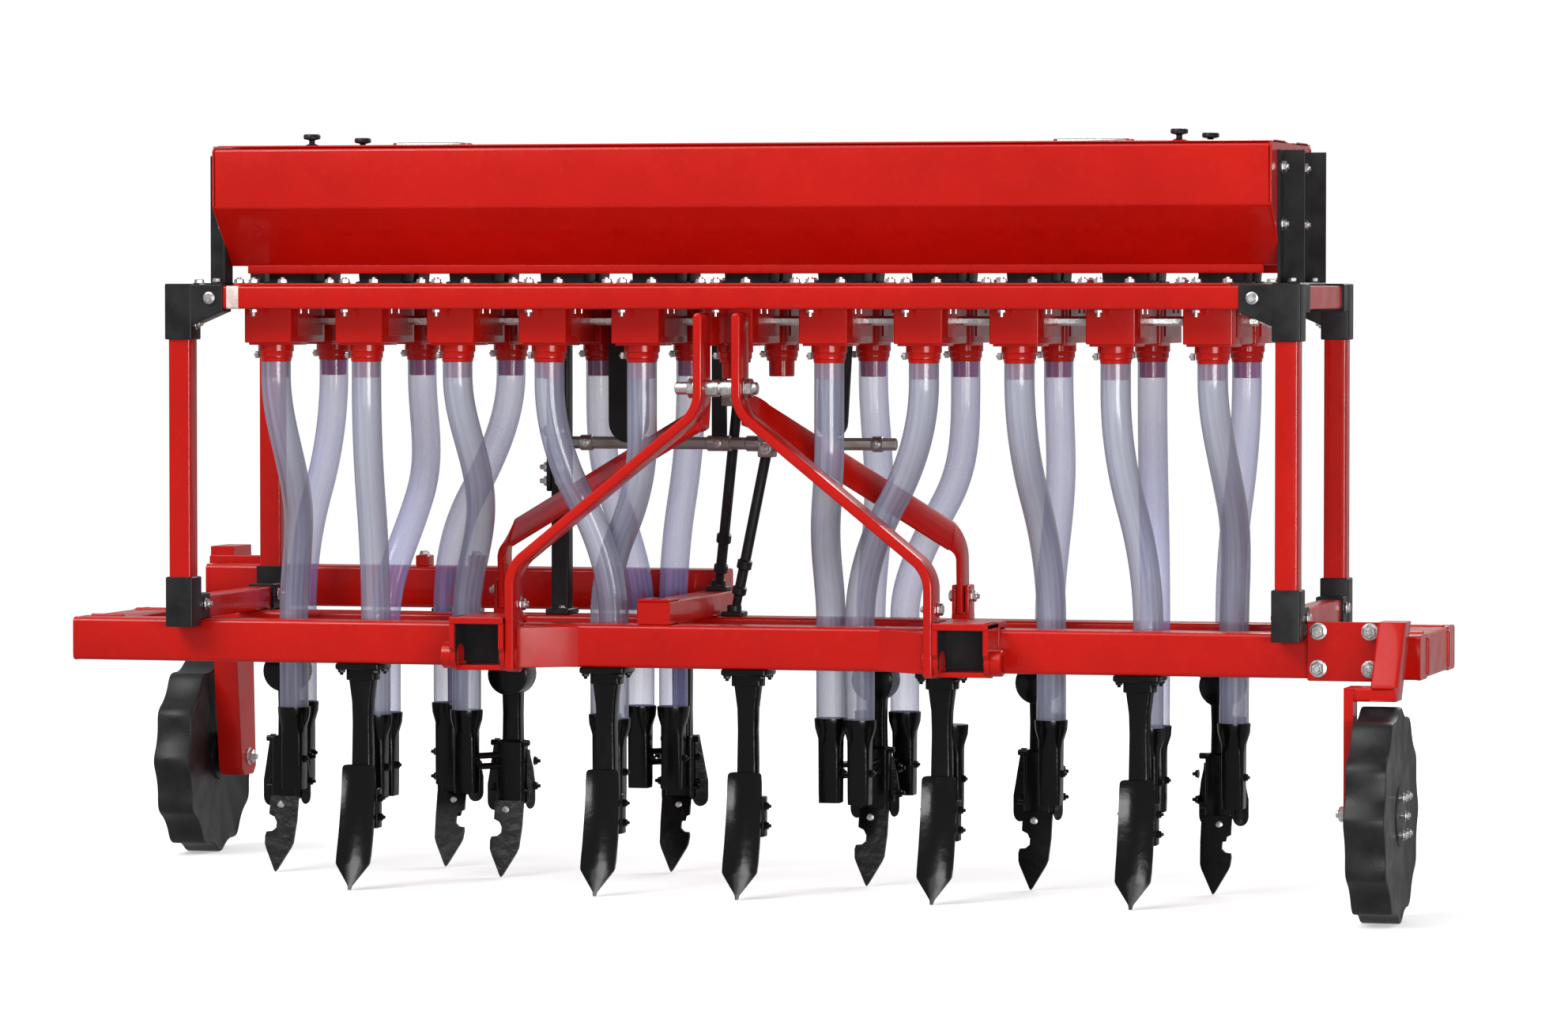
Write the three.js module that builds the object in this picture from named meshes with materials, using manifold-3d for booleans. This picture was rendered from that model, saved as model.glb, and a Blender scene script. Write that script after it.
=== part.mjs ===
// A mounted seed drill for a tractor's three-point hitch: a low frame of square tube with
// twelve tines, a seed and fertiliser hopper on a raised frame, metering units and seed tubes.
// Millimetres. X runs along the beams, Y from the tractor side to the rear, Z up, and the
// tips of the tines and the wheels stand on Z = 0.
import * as THREE from "three";
import { mergeVertices } from "three/addons/utils/BufferGeometryUtils.js";
import Module from "manifold-3d";

// Driving sizes
const beamHalfLength = 1205;
const beamSize = 75;
const beamBottom = 395;
const middleBeamY = 300;
const rearBeamRight = -140;
const tubeSize = 40;
const upperBeamBottom = 1017;
const hopperHalfLength = 945;
const hopperDepth = 380;
const hopperHeight = 209;
const throatHeight = 30;
const unitCount = 11;
const unitHalfWidth = 46;
const centreRailX = -135;
const hitchHalfSpan = 430;
const wheelRadius = 180;
const wheelWidth = 68;
const seedTubeRadius = 26;

// Fits
const seat = 0.3;
const wheelGap = 10;
const rearLegRoom = 100;
const legOffset = 40;
const endUnitRoom = 59;

// Sizes that follow from the driving ones
const beamTop = beamBottom + beamSize;
const rearBeamY = middleBeamY + beamSize + rearLegRoom;
const rearBeamLeft = 77 - beamHalfLength;
const legX = hopperHalfLength + legOffset;
const railBottom = beamTop + seat;
const railTop = railBottom + tubeSize;
const frontLegY = -30;
const rearLegY = rearBeamY - 30;
const upperBeamTop = upperBeamBottom + tubeSize;
const deckBottom = upperBeamTop + seat;
const deckTop = deckBottom + 4;
const hopperBottom = deckTop + throatHeight - seat;
const hopperTop = hopperBottom + hopperHeight;
const hopperMiddle = (frontLegY + rearLegY) / 2;
const hopperFront = hopperMiddle - hopperDepth / 2;
const hopperBack = hopperMiddle + hopperDepth / 2;
const socketSize = tubeSize + 10;
const sleeveBore = tubeSize + 2 * seat;
const endUnitX = hopperHalfLength - endUnitRoom - unitHalfWidth;
const unitPitch = (2 * endUnitX) / (unitCount - 1);

const wasm = await Module();
wasm.setup();

// A three.js geometry as a closed solid.
function solid(geometry) {
  geometry.deleteAttribute("normal");
  geometry.deleteAttribute("uv");
  const merged = mergeVertices(geometry, 1e-3);
  return new wasm.Manifold(
    new wasm.Mesh({
      numProp: 3,
      vertProperties: merged.attributes.position.array,
      triVerts: new Uint32Array(merged.index.array),
    }),
  );
}

// A block between two corners.
function block(x0, x1, y0, y1, z0, z1) {
  const made = new THREE.BoxGeometry(x1 - x0, y1 - y0, z1 - z0);
  return solid(made.translate((x0 + x1) / 2, (y0 + y1) / 2, (z0 + z1) / 2));
}

// A straight round bar between two points.
function rod(from, to, radius, sides = 10) {
  const a = new THREE.Vector3(...from);
  const b = new THREE.Vector3(...to);
  const along = b.clone().sub(a);
  const made = new THREE.CylinderGeometry(radius, radius, along.length(), sides);
  const turn = new THREE.Quaternion().setFromUnitVectors(
    new THREE.Vector3(0, 1, 0),
    along.clone().normalize(),
  );
  made.applyQuaternion(turn);
  return solid(made.translate(...a.add(b).multiplyScalar(0.5)));
}

// An outline of [u, v] corners pushed through a thickness. The three frames lay it across X,
// with u = Y and v = Z, across Y, with u = X and v = Z, and across Z, with u = X and v = Y.
function pushed(outline, thickness) {
  const shape = new THREE.Shape(outline.map(([u, v]) => new THREE.Vector2(u, v)));
  return new THREE.ExtrudeGeometry(shape, { depth: thickness, bevelEnabled: false });
}

function acrossX(outline, x0, x1) {
  const turn = new THREE.Matrix4().makeBasis(
    new THREE.Vector3(0, 1, 0),
    new THREE.Vector3(0, 0, 1),
    new THREE.Vector3(1, 0, 0),
  );
  return solid(pushed(outline, x1 - x0).applyMatrix4(turn).translate(x0, 0, 0));
}

function acrossY(outline, y0, y1) {
  const turn = new THREE.Matrix4().makeBasis(
    new THREE.Vector3(1, 0, 0),
    new THREE.Vector3(0, 0, 1),
    new THREE.Vector3(0, -1, 0),
  );
  return solid(pushed(outline, y1 - y0).applyMatrix4(turn).translate(0, y1, 0));
}

function acrossZ(outline, z0, z1) {
  return solid(pushed(outline, z1 - z0).translate(0, 0, z0));
}

// The outline of a bent strip: a line of points with half the thickness on each side.
function strip(points, thickness) {
  const line = points.map(([u, v]) => new THREE.Vector2(u, v));
  const sides = line.map((p, i) => {
    const before = line[Math.max(i - 1, 0)];
    const after = line[Math.min(i + 1, line.length - 1)];
    const inward = p === before ? after.clone().sub(p) : p.clone().sub(before);
    const outward = p === after ? inward.clone() : after.clone().sub(p);
    const bisector = inward.normalize().add(outward.normalize()).normalize();
    const reach = thickness / 2 / bisector.dot(outward);
    const across = new THREE.Vector2(-bisector.y, bisector.x).multiplyScalar(reach);
    return [p.clone().add(across), p.clone().sub(across)];
  });
  const right = sides.map(([, b]) => [b.x, b.y]);
  const left = sides.map(([a]) => [a.x, a.y]).reverse();
  return [...right, ...left];
}

// A round tube that follows a smooth line through its points.
function tubeAlong(points, radius, steps, sides = 10) {
  const path = new THREE.CatmullRomCurve3(points.map((p) => new THREE.Vector3(...p)));
  const ring = Array.from({ length: sides }, (_, i) => {
    const turn = (2 * Math.PI * i) / sides;
    return new THREE.Vector2(radius * Math.cos(turn), radius * Math.sin(turn));
  });
  const shape = new THREE.Shape(ring);
  return solid(new THREE.ExtrudeGeometry(shape, { steps, extrudePath: path }));
}

function joined(solids) {
  return solids.reduce((whole, next) => whole.add(next));
}

const redPaint = { color: 0xc81e1a, roughness: 0.35, metalness: 0.1 };
const blackPaint = { color: 0x17181a, roughness: 0.45, metalness: 0.2 };
const zinc = { color: 0x9a9ca0, roughness: 0.4, metalness: 0.9 };
const clearHose = { color: 0xaab0c4, roughness: 0.25, metalness: 0 };

const drill = new THREE.Group();

// One named piece of the drill.
function piece(name, made, finish) {
  const data = made.getMesh();
  const geometry = new THREE.BufferGeometry();
  geometry.setAttribute("position", new THREE.BufferAttribute(data.vertProperties, 3));
  geometry.setIndex(new THREE.BufferAttribute(data.triVerts, 1));
  geometry.computeVertexNormals();
  const mesh = new THREE.Mesh(geometry, new THREE.MeshStandardMaterial(finish));
  mesh.name = name;
  drill.add(mesh);
}

// Lower frame: two long beams joined by a tube at each end, with wedge gussets beside the hitch
const clevisHalfWidth = 49;
const clevisInner = hitchHalfSpan - clevisHalfWidth;
const mastFootOuter = clevisInner - seat;
const mastThickness = 17;
const gussetOuter = mastFootOuter - mastThickness - seat;

function gusset(side) {
  const corners = [
    [side * (gussetOuter - 96), 0.5],
    [side * gussetOuter, 0.5],
    [side * gussetOuter, -60],
  ];
  const outline = side > 0 ? corners.reverse() : corners;
  return acrossZ(outline, beamBottom, beamTop - 2);
}

const frontBeam = block(
  -beamHalfLength,
  beamHalfLength,
  0,
  beamSize,
  beamBottom,
  beamTop,
);
piece("front_beam", joined([frontBeam, gusset(-1), gusset(1)]), redPaint);

const middleBeamBack = middleBeamY + beamSize;
piece(
  "middle_beam",
  block(
    -beamHalfLength,
    beamHalfLength,
    middleBeamY,
    middleBeamBack,
    beamBottom,
    beamTop,
  ),
  redPaint,
);

for (const [name, side] of [["left", -1], ["right", 1]]) {
  const x = side * (beamHalfLength - beamSize / 2);
  piece(
    "end_tube_" + name,
    block(
      x - beamSize / 2,
      x + beamSize / 2,
      beamSize + seat,
      middleBeamY - seat,
      beamBottom,
      beamTop,
    ),
    redPaint,
  );
}

// Raised rear beam, which carries the left wheel
const rearBeamBack = rearBeamY + beamSize;
piece(
  "rear_beam",
  block(
    rearBeamLeft,
    rearBeamRight,
    rearBeamY,
    rearBeamBack,
    railBottom,
    railBottom + beamSize,
  ),
  redPaint,
);

// Rails that lie on the beams
piece(
  "centre_rail",
  block(
    centreRailX - 30,
    centreRailX + 30,
    5,
    rearBeamY - seat,
    railBottom,
    railTop,
  ),
  redPaint,
);

const lowerRailEnds = [frontLegY + tubeSize / 2 + seat, rearLegY - tubeSize / 2 - seat];
for (const [name, side] of [["left", -1], ["right", 1]]) {
  const x = side * legX;
  piece(
    "lower_rail_" + name,
    block(
      x - tubeSize / 2,
      x + tubeSize / 2,
      lowerRailEnds[0],
      lowerRailEnds[1],
      railBottom,
      railTop,
    ),
    redPaint,
  );
  piece(
    "upper_rail_" + name,
    block(
      x - tubeSize / 2,
      x + tubeSize / 2,
      lowerRailEnds[0],
      lowerRailEnds[1],
      upperBeamBottom,
      upperBeamTop,
    ),
    redPaint,
  );
}

// Legs: square tube in black sockets whose sleeves hold the rails and the upper beams
const sleeveReach = 82;

function leg(side, y, inward) {
  const x = side * legX;
  const half = socketSize / 2;
  const post = block(
    x - tubeSize / 2,
    x + tubeSize / 2,
    y - tubeSize / 2,
    y + tubeSize / 2,
    railBottom - 8,
    upperBeamTop,
  );
  const lowerSocket = block(x - half, x + half, y - half, y + half, railBottom - 12, beamTop + 76);
  const upperSocket = block(
    x - half,
    x + half,
    y - half,
    y + half,
    upperBeamBottom - 54,
    upperBeamTop + 4,
  );
  const endY = y + inward * 70;
  const [y0, y1] = [Math.min(y, endY), Math.max(y, endY)];
  const lowerSleeve = block(x - half, x + half, y0, y1, railBottom, railTop + 5);
  const upperSleeve = block(
    x - half,
    x + half,
    y0,
    y1,
    upperBeamBottom - 5,
    upperBeamTop + 4,
  );
  const endX = x - side * sleeveReach;
  const [x0, x1] = [Math.min(x, endX), Math.max(x, endX)];
  const sideSleeve = block(
    x0,
    x1,
    y - half,
    y + half,
    upperBeamBottom - 5,
    upperBeamTop + 4,
  );
  const body = joined([lowerSocket, upperSocket, lowerSleeve, upperSleeve, sideSleeve]);
  const boreHalf = sleeveBore / 2;
  const boreY = y + inward * (tubeSize / 2);
  const farY = y + inward * 90;
  const [by0, by1] = [Math.min(boreY, farY), Math.max(boreY, farY)];
  const boreX = x - side * (tubeSize / 2);
  const farX = x - side * 100;
  const [bx0, bx1] = [Math.min(boreX, farX), Math.max(boreX, farX)];
  const bores = joined([
    block(x - boreHalf, x + boreHalf, by0, by1, railBottom - 9, railTop + seat),
    block(
      x - boreHalf,
      x + boreHalf,
      by0,
      by1,
      upperBeamBottom - seat,
      upperBeamTop + seat,
    ),
    block(
      bx0,
      bx1,
      y - boreHalf,
      y + boreHalf,
      upperBeamBottom - seat,
      upperBeamTop + seat,
    ),
  ]);
  return body.subtract(bores).add(post);
}

piece("front_left_leg", leg(-1, frontLegY, 1), redPaint);
piece("front_right_leg", leg(1, frontLegY, 1), redPaint);
piece("rear_left_leg", leg(-1, rearLegY, -1), redPaint);
piece("rear_right_leg", leg(1, rearLegY, -1), redPaint);

// Upper beams, held in the sleeves
const upperHalfLength = legX - tubeSize / 2 - seat;
for (const [name, y] of [["front", frontLegY], ["rear", rearLegY]]) {
  piece(
    "upper_" + name + "_beam",
    block(
      -upperHalfLength,
      upperHalfLength,
      y - tubeSize / 2,
      y + tubeSize / 2,
      upperBeamBottom,
      upperBeamTop,
    ),
    redPaint,
  );
}

// Hopper: a folded sheet trough with two compartments and a hinge strip along the middle
const sheetWall = 4;
const panelFold = hopperTop - 105;
const floorHalf = 90;
const stripHalf = 22;

function troughOutline(inset) {
  const slope = (hopperDepth / 2 - floorHalf) / (panelFold - hopperBottom);
  const fold = panelFold + inset * 0.4;
  const half = hopperDepth / 2 - inset;
  const low = hopperBottom + inset;
  const lowHalf = half - slope * (fold - low);
  const top = inset > 0 ? hopperTop + 10 : hopperTop;
  return [
    [hopperMiddle - lowHalf, low],
    [hopperMiddle + lowHalf, low],
    [hopperMiddle + half, fold],
    [hopperMiddle + half, top],
    [hopperMiddle - half, top],
    [hopperMiddle - half, fold],
  ];
}

const hingeAxisGap = 20;
const hingeZ = hopperTop + 7;
const hingePlaces = [-600, 600];
const barrelHalf = 60;
const lugThickness = 6;
const lidInner = stripHalf + 6;

// Lugs on the strip that hold one lid's hinge barrels.
function hingeLugs(y) {
  return hingePlaces.flatMap((x) =>
    [-1, 1].map((end) => {
      const inner = x + end * (barrelHalf + 0.5);
      const outer = inner + end * lugThickness;
      return block(
        Math.min(inner, outer),
        Math.max(inner, outer),
        y - 4.5,
        y + 4.5,
        hopperTop - 2,
        hingeZ + 4,
      );
    }),
  );
}

const trough = acrossX(troughOutline(0), -hopperHalfLength, hopperHalfLength);
const hollow = acrossX(
  troughOutline(sheetWall),
  -hopperHalfLength + sheetWall,
  hopperHalfLength - sheetWall,
);
const partition = block(
  -hopperHalfLength + 1,
  hopperHalfLength - 1,
  hopperMiddle - 2,
  hopperMiddle + 2,
  hopperBottom + 1,
  hopperTop,
);
const hingeStrip = block(
  -hopperHalfLength + 1,
  hopperHalfLength - 1,
  hopperMiddle - stripHalf,
  hopperMiddle + stripHalf,
  hopperTop - 4,
  hopperTop,
);
piece(
  "hopper",
  joined([
    trough.subtract(hollow),
    partition,
    hingeStrip,
    ...hingeLugs(hopperMiddle - hingeAxisGap),
    ...hingeLugs(hopperMiddle + hingeAxisGap),
  ]),
  redPaint,
);

// Lids: flat sheets with hinge barrels at the strip and two knobs each
const lidBottom = hopperTop + seat;
const lidTop = lidBottom + 4;
const lidWidth = hopperMiddle - hopperFront - lidInner;
const knobX = 778;

function lid(direction) {
  const axisY = hopperMiddle + direction * hingeAxisGap;
  const inner = hopperMiddle + direction * lidInner;
  const outer = inner + direction * lidWidth;
  const [y0, y1] = [Math.min(inner, outer), Math.max(inner, outer)];
  const plate = block(-hopperHalfLength, hopperHalfLength, y0, y1, lidBottom, lidTop);
  const barrels = hingePlaces.map((x) =>
    rod([x - barrelHalf, axisY, hingeZ], [x + barrelHalf, axisY, hingeZ], 4.5, 8),
  );
  const straps = hingePlaces.map((x) =>
    block(
      x - barrelHalf,
      x + barrelHalf,
      Math.min(axisY, inner + direction * 12),
      Math.max(axisY, inner + direction * 12),
      lidBottom + 2.5,
      lidTop + 4,
    ),
  );
  const knobY = hopperMiddle + direction * 140;
  const knobs = [-knobX, knobX].flatMap((x) => [
    rod([x, knobY, lidTop - 1], [x, knobY, lidTop + 12], 5, 8),
    rod([x, knobY, lidTop + 10], [x, knobY, lidTop + 20], 15, 10),
  ]);
  return joined([plate, ...barrels, ...straps, ...knobs]);
}

piece("front_lid", lid(-1), redPaint);
piece("rear_lid", lid(1), redPaint);

// Uprights: black angles bolted to the hopper's ends, on a foot strip on the upper rail
function upright(side) {
  const inner = hopperHalfLength + seat;
  const wall = (offset, width) => {
    const a = side * (inner + offset);
    const b = side * (inner + offset + width);
    return [Math.min(a, b), Math.max(a, b)];
  };
  const [flat0, flat1] = wall(0, 5);
  const [rib0, rib1] = wall(0, 40);
  const angles = [hopperMiddle - 88, hopperMiddle + 122].flatMap((y) => [
    block(flat0, flat1, y - 40, y, deckTop + seat, hopperTop - 12),
    block(rib0, rib1, y - 5, y, deckTop + seat, hopperTop - 12),
  ]);
  const foot = block(
    rib0,
    rib1,
    hopperMiddle - 128,
    hopperMiddle + 122,
    deckBottom,
    deckTop + 1,
  );
  return joined([...angles, foot]);
}

piece("upright_left", upright(-1), blackPaint);
piece("upright_right", upright(1), blackPaint);

// Metering units: a row in front and one behind, hung under the deck
const unitBottom = upperBeamBottom - 60;
const collarBottom = unitBottom - 17;
const spoutBottom = unitBottom - 33;
const shaftZ = unitBottom + 39;
const spoutFrontY = 50;
const spoutRearY = 2 * hopperMiddle - spoutFrontY;
const unitX = Array.from(
  { length: unitCount },
  (_, i) => (i - (unitCount - 1) / 2) * unitPitch,
);

// One row of units with its feed shaft.
function unitRow(y0, y1, spoutY, shaftY) {
  const collar = seedTubeRadius + 5.5;
  const lip = seedTubeRadius + 1;
  const parts = unitX.flatMap((x) => [
    block(x - unitHalfWidth, x + unitHalfWidth, y0, y1, unitBottom, deckBottom - seat),
    rod([x, spoutY, unitBottom + 1], [x, spoutY, collarBottom], collar, 12),
    rod([x, spoutY, collarBottom + 1], [x, spoutY, spoutBottom + seat], lip, 12),
  ]);
  const shaftEnd = unitX[unitCount - 1] + unitHalfWidth + 14;
  parts.push(rod([-shaftEnd, shaftY, shaftZ], [shaftEnd, shaftY, shaftZ], 8, 6));
  return joined(parts);
}

piece(
  "front_feed_units",
  unitRow(5, hopperMiddle - 18, spoutFrontY, hopperMiddle - 55),
  redPaint,
);
piece(
  "rear_feed_units",
  unitRow(hopperMiddle + 18, 2 * hopperMiddle - 5, spoutRearY, hopperMiddle + 55),
  redPaint,
);

// Deck: a sheet that rests on the upper beams, with a throat to the hopper for each unit
const throats = unitX.flatMap((x) => [
  block(
    x - unitHalfWidth,
    x + unitHalfWidth,
    hopperMiddle - 84,
    hopperMiddle - 6,
    deckTop - 1,
    hopperBottom - seat,
  ),
  block(
    x - unitHalfWidth,
    x + unitHalfWidth,
    hopperMiddle + 6,
    hopperMiddle + 84,
    deckTop - 1,
    hopperBottom - seat,
  ),
]);
const deck = block(
  -hopperHalfLength + 6,
  hopperHalfLength - 6,
  frontLegY - 10,
  rearLegY + 10,
  deckBottom,
  deckTop,
);
const sleeveClear = legX - sleeveReach - 6;
const deckCorners = [-1, 1].flatMap((side) =>
  [frontLegY, rearLegY].map((y) =>
    block(
      side > 0 ? sleeveClear : -legX,
      side > 0 ? legX : -sleeveClear,
      y - 40,
      y + 40,
      deckBottom - 5,
      deckTop + 5,
    ),
  ),
);
piece("hopper_deck", joined([deck.subtract(joined(deckCorners)), ...throats]), redPaint);

// Hitch clevises: open-fronted boxes on the front beam, with bored ears and bosses for the pin
const clevisFront = -80;
const clevisWall = 9;
const pinZ = beamBottom + 21;
const pinY = -48;

function clevis(side) {
  const x = side * hitchHalfSpan;
  const back = -seat;
  const earBottom = pinZ - 26;
  const ears = [-1, 1].map((hand) => {
    const outer = x + hand * clevisHalfWidth;
    const inner = outer - hand * clevisWall;
    return block(
      Math.min(outer, inner),
      Math.max(outer, inner),
      clevisFront,
      back,
      earBottom,
      beamTop + 14,
    );
  });
  const backPlate = block(
    x - clevisHalfWidth,
    x + clevisHalfWidth,
    back - clevisWall,
    back,
    beamBottom,
    beamTop + 14,
  );
  const top = block(
    x - clevisHalfWidth,
    x + clevisHalfWidth,
    clevisFront,
    beamSize - 12,
    beamTop + seat,
    beamTop + 14,
  );
  const floor = block(
    x - clevisHalfWidth,
    x + clevisHalfWidth,
    clevisFront + 30,
    back,
    earBottom,
    earBottom + clevisWall,
  );
  const outerEar = x + side * clevisHalfWidth;
  const boss = rod(
    [outerEar - side, pinY, pinZ],
    [outerEar + side * 20, pinY, pinZ],
    26,
    14,
  );
  const bore = rod([x - 90, pinY, pinZ], [x + 90, pinY, pinZ], 14.5, 14);
  return joined([...ears, backPlate, top, floor, boss]).subtract(bore);
}

piece("clevis_left", clevis(-1), redPaint);
piece("clevis_right", clevis(1), redPaint);

// Mast: two bent flat bars from the clevises up to the top link pin
const mastTop = upperBeamBottom - 6;
const mastTopX = 34;
const mastBendZ = upperBeamBottom - 181;
const mastLowBendZ = beamTop + 90;
const mastFootX = mastFootOuter - mastThickness / 2;
const mastFront = -75;
const mastBack = -15;
const topPinZ = upperBeamBottom - 136;
const topPinRadius = 11;

function mast(side) {
  const line = [
    [side * mastFootX, beamBottom - 2],
    [side * mastFootX, mastLowBendZ - 22],
    [side * (mastFootX - 18), mastLowBendZ + 16],
    [side * (mastTopX + 18), mastBendZ - 16],
    [side * mastTopX, mastBendZ + 22],
    [side * mastTopX, mastTop],
  ];
  const outline = strip(line, mastThickness);
  const bar = acrossY(outline, mastFront, mastBack);
  const hole = rod(
    [side * mastTopX - 30, frontLegY - 15, topPinZ],
    [side * mastTopX + 30, frontLegY - 15, topPinZ],
    topPinRadius + 0.8,
    12,
  );
  return bar.subtract(hole);
}

piece("mast_left", mast(-1), redPaint);
piece("mast_right", mast(1), redPaint);

const pinLineY = frontLegY - 15;
const mastOuter = mastTopX + mastThickness / 2;
piece(
  "top_link_pin",
  joined([
    rod([-80, pinLineY, topPinZ], [66, pinLineY, topPinZ], topPinRadius, 12),
    rod(
      [-mastOuter - seat - 14, pinLineY, topPinZ],
      [-mastOuter - seat, pinLineY, topPinZ],
      17,
      6,
    ),
    rod(
      [mastOuter + seat, pinLineY, topPinZ],
      [mastOuter + seat + 14, pinLineY, topPinZ],
      17,
      6,
    ),
  ]),
  zinc,
);

// Braces: flat bars from behind the mast head back and down to lugs on the middle beam
const braceThickness = 12;
const braceWidth = 60;
const postHalf = 16;
const unitGap = unitPitch - 2 * unitHalfWidth;
const postX = unitGap / 2 - postHalf - 2 - 2.5 * unitPitch;
const leftBraceFoot = postX - 100;
const rightBraceFoot = 343;
const braceFootY = middleBeamY + 10;
const braceHeadY = 26;
const braceHeadZ = mastBendZ + 2;
const braceFootZ = beamTop + 118;

function brace(side, footX) {
  const from = new THREE.Vector3(side * mastTopX, braceHeadY, braceHeadZ);
  const to = new THREE.Vector3(footX, braceFootY, braceFootZ);
  const along = to.clone().sub(from);
  const length = along.length();
  along.normalize();
  const flatNormal = new THREE.Vector3(side, 0, 0);
  flatNormal.addScaledVector(along, -flatNormal.dot(along)).normalize();
  const wide = new THREE.Vector3().crossVectors(along, flatNormal);
  const frame = new THREE.Matrix4().makeBasis(flatNormal, wide, along);
  const bar = new THREE.BoxGeometry(braceThickness, braceWidth, length + 12);
  bar.applyMatrix4(frame);
  bar.translate(...from.clone().add(to).multiplyScalar(0.5));
  const head = block(
    side * mastTopX - 8,
    side * mastTopX + 8,
    mastBack + seat,
    braceHeadY + 22,
    braceHeadZ - 22,
    braceHeadZ + 26,
  );
  const foot = block(
    footX - braceThickness / 2,
    footX + braceThickness / 2,
    braceFootY - 18,
    braceFootY + 32,
    beamTop + seat,
    braceFootZ + 22,
  );
  const lug = block(
    footX - 16,
    footX + 16,
    braceFootY - 18,
    braceFootY + 32,
    beamTop + seat,
    beamTop + 12,
  );
  return joined([solid(bar), head, foot, lug]);
}

piece("brace_left", brace(-1, leftBraceFoot), redPaint);
piece("brace_right", brace(1, rightBraceFoot), redPaint);

// Drive gear: a post, a cross bar on three hangers, and two link rods down to the frame
const crossBarZ = upperBeamBottom - 239;
const crossBarRight = 224;
const postY = middleBeamY + beamSize / 2;
const crossBarY = postY - postHalf - 11 - seat;
const hangerHalf = 14;
const hangerX = unitPitch / 2 + ((unitGap / 2 - hangerHalf) * 2) / 3;
const guardX = -1.5 * unitPitch;
const guardHalf = unitGap / 2 - 12;
const nearLinkX = -12;
const farLinkX = -66;

piece(
  "drive_post",
  joined([
    block(
      postX - postHalf,
      postX + postHalf,
      postY - postHalf,
      postY + postHalf,
      beamTop + seat,
      deckBottom - seat,
    ),
    block(postX - 22, postX + 22, postY - 34, postY + 34, beamTop + seat, beamTop + 10),
    block(
      postX - 26,
      postX - 14,
      postY - 14,
      postY + 14,
      crossBarZ - 88,
      crossBarZ + 152,
    ),
  ]),
  blackPaint,
);

// A flat hanger from the deck down past the cross bar.
function hanger(x, halfWidth) {
  return block(
    x - halfWidth,
    x + halfWidth,
    crossBarY - 5,
    crossBarY + 5,
    crossBarZ - 14,
    deckBottom - seat,
  );
}

// A link rod with its foot plate.
function link(from, to) {
  const [x, y, z] = to;
  return joined([
    rod(from, [x, y, z + 4], 9.5, 8),
    block(x - 20, x + 20, y - 20, y + 20, z + seat, z + 9),
  ]);
}

piece(
  "cross_bar",
  joined([
    rod(
      [postX + 2, crossBarY, crossBarZ],
      [crossBarRight, crossBarY, crossBarZ],
      11,
      6,
    ),
    hanger(guardX, guardHalf),
    hanger(-hangerX, hangerHalf),
    hanger(hangerX, hangerHalf),
    block(
      6 - hangerX,
      farLinkX + 12,
      crossBarY - 12,
      crossBarY + 12,
      crossBarZ + 66,
      crossBarZ + 92,
    ),
    link([farLinkX, crossBarY, crossBarZ + 80], [centreRailX, 432, railTop]),
    block(
      nearLinkX - 14,
      nearLinkX + 14,
      crossBarY - 16,
      crossBarY + 16,
      crossBarZ - 24,
      crossBarZ + 14,
    ),
    link([nearLinkX, crossBarY, crossBarZ - 10], [-80, postY, beamTop]),
  ]),
  zinc,
);

// Land wheels: scalloped discs with a deep flat face, each bored for its axle
const lobes = 12;
const axleRadius = 15;
const axleRoom = 0.6;

function wheel(x0, y) {
  const outline = Array.from({ length: lobes * 3 }, (_, i) => {
    const turn = (2 * Math.PI * i) / (lobes * 3);
    const radius = wheelRadius - 4 + 4 * Math.cos(lobes * turn);
    return [y + radius * Math.sin(turn), wheelRadius - radius * Math.cos(turn)];
  });
  const disc = acrossX(outline, x0, x0 + wheelWidth);
  const bore = rod(
    [x0 - 5, y, wheelRadius],
    [x0 + wheelWidth + 5, y, wheelRadius],
    (axleRadius + axleRoom) / Math.cos(Math.PI / 16),
    16,
  );
  return disc.subtract(bore);
}

const rightWheelX = beamHalfLength - 75;
const rightWheelY = -150;
const leftWheelX = rearBeamLeft - 30 - wheelWidth;
const leftWheelY = rearBeamBack + 88;
piece("left_wheel", wheel(leftWheelX, leftWheelY), blackPaint);
piece("right_wheel", wheel(rightWheelX, rightWheelY), blackPaint);

// Wheel arms: inclined tubes with a bolted plate at the beam. The left one holds its axle; the
// right one stands over its wheel and holds the axle by a leg on the wheel's inner side.
const armWidth = 46;
const legThickness = 16;
const rightArmX = rightWheelX + 15;
const rightLegX = rightWheelX - wheelGap - legThickness;
const rightArmZ = 2 * wheelRadius + 8;
const bridgeHeight = 24;
const leftArmX = leftWheelX + wheelWidth + wheelGap;

function axle(fromX, toX, y) {
  return rod([fromX, y, wheelRadius], [toX, y, wheelRadius], axleRadius, 16);
}

piece(
  "right_wheel_arm",
  joined([
    block(rightArmX - 131, rightArmX + 14, -10 - seat, -seat, beamBottom - 3, beamTop + 22),
    acrossX(
      [
        [-9, beamTop - 30],
        [-9, beamTop + 26],
        [-76, beamTop + 26],
        [rightWheelY - 18, rightArmZ],
        [rightWheelY + 50, rightArmZ],
      ].reverse(),
      rightArmX,
      rightArmX + armWidth,
    ),
    block(
      rightLegX,
      rightArmX + armWidth,
      rightWheelY - 18,
      rightWheelY + 46,
      rightArmZ,
      rightArmZ + bridgeHeight,
    ),
    block(
      rightLegX,
      rightLegX + legThickness,
      rightWheelY - 22,
      rightWheelY + 22,
      wheelRadius - 34,
      rightArmZ + bridgeHeight,
    ),
    axle(rightLegX + 2, rightWheelX + wheelWidth + 6, rightWheelY),
  ]),
  redPaint,
);

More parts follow.
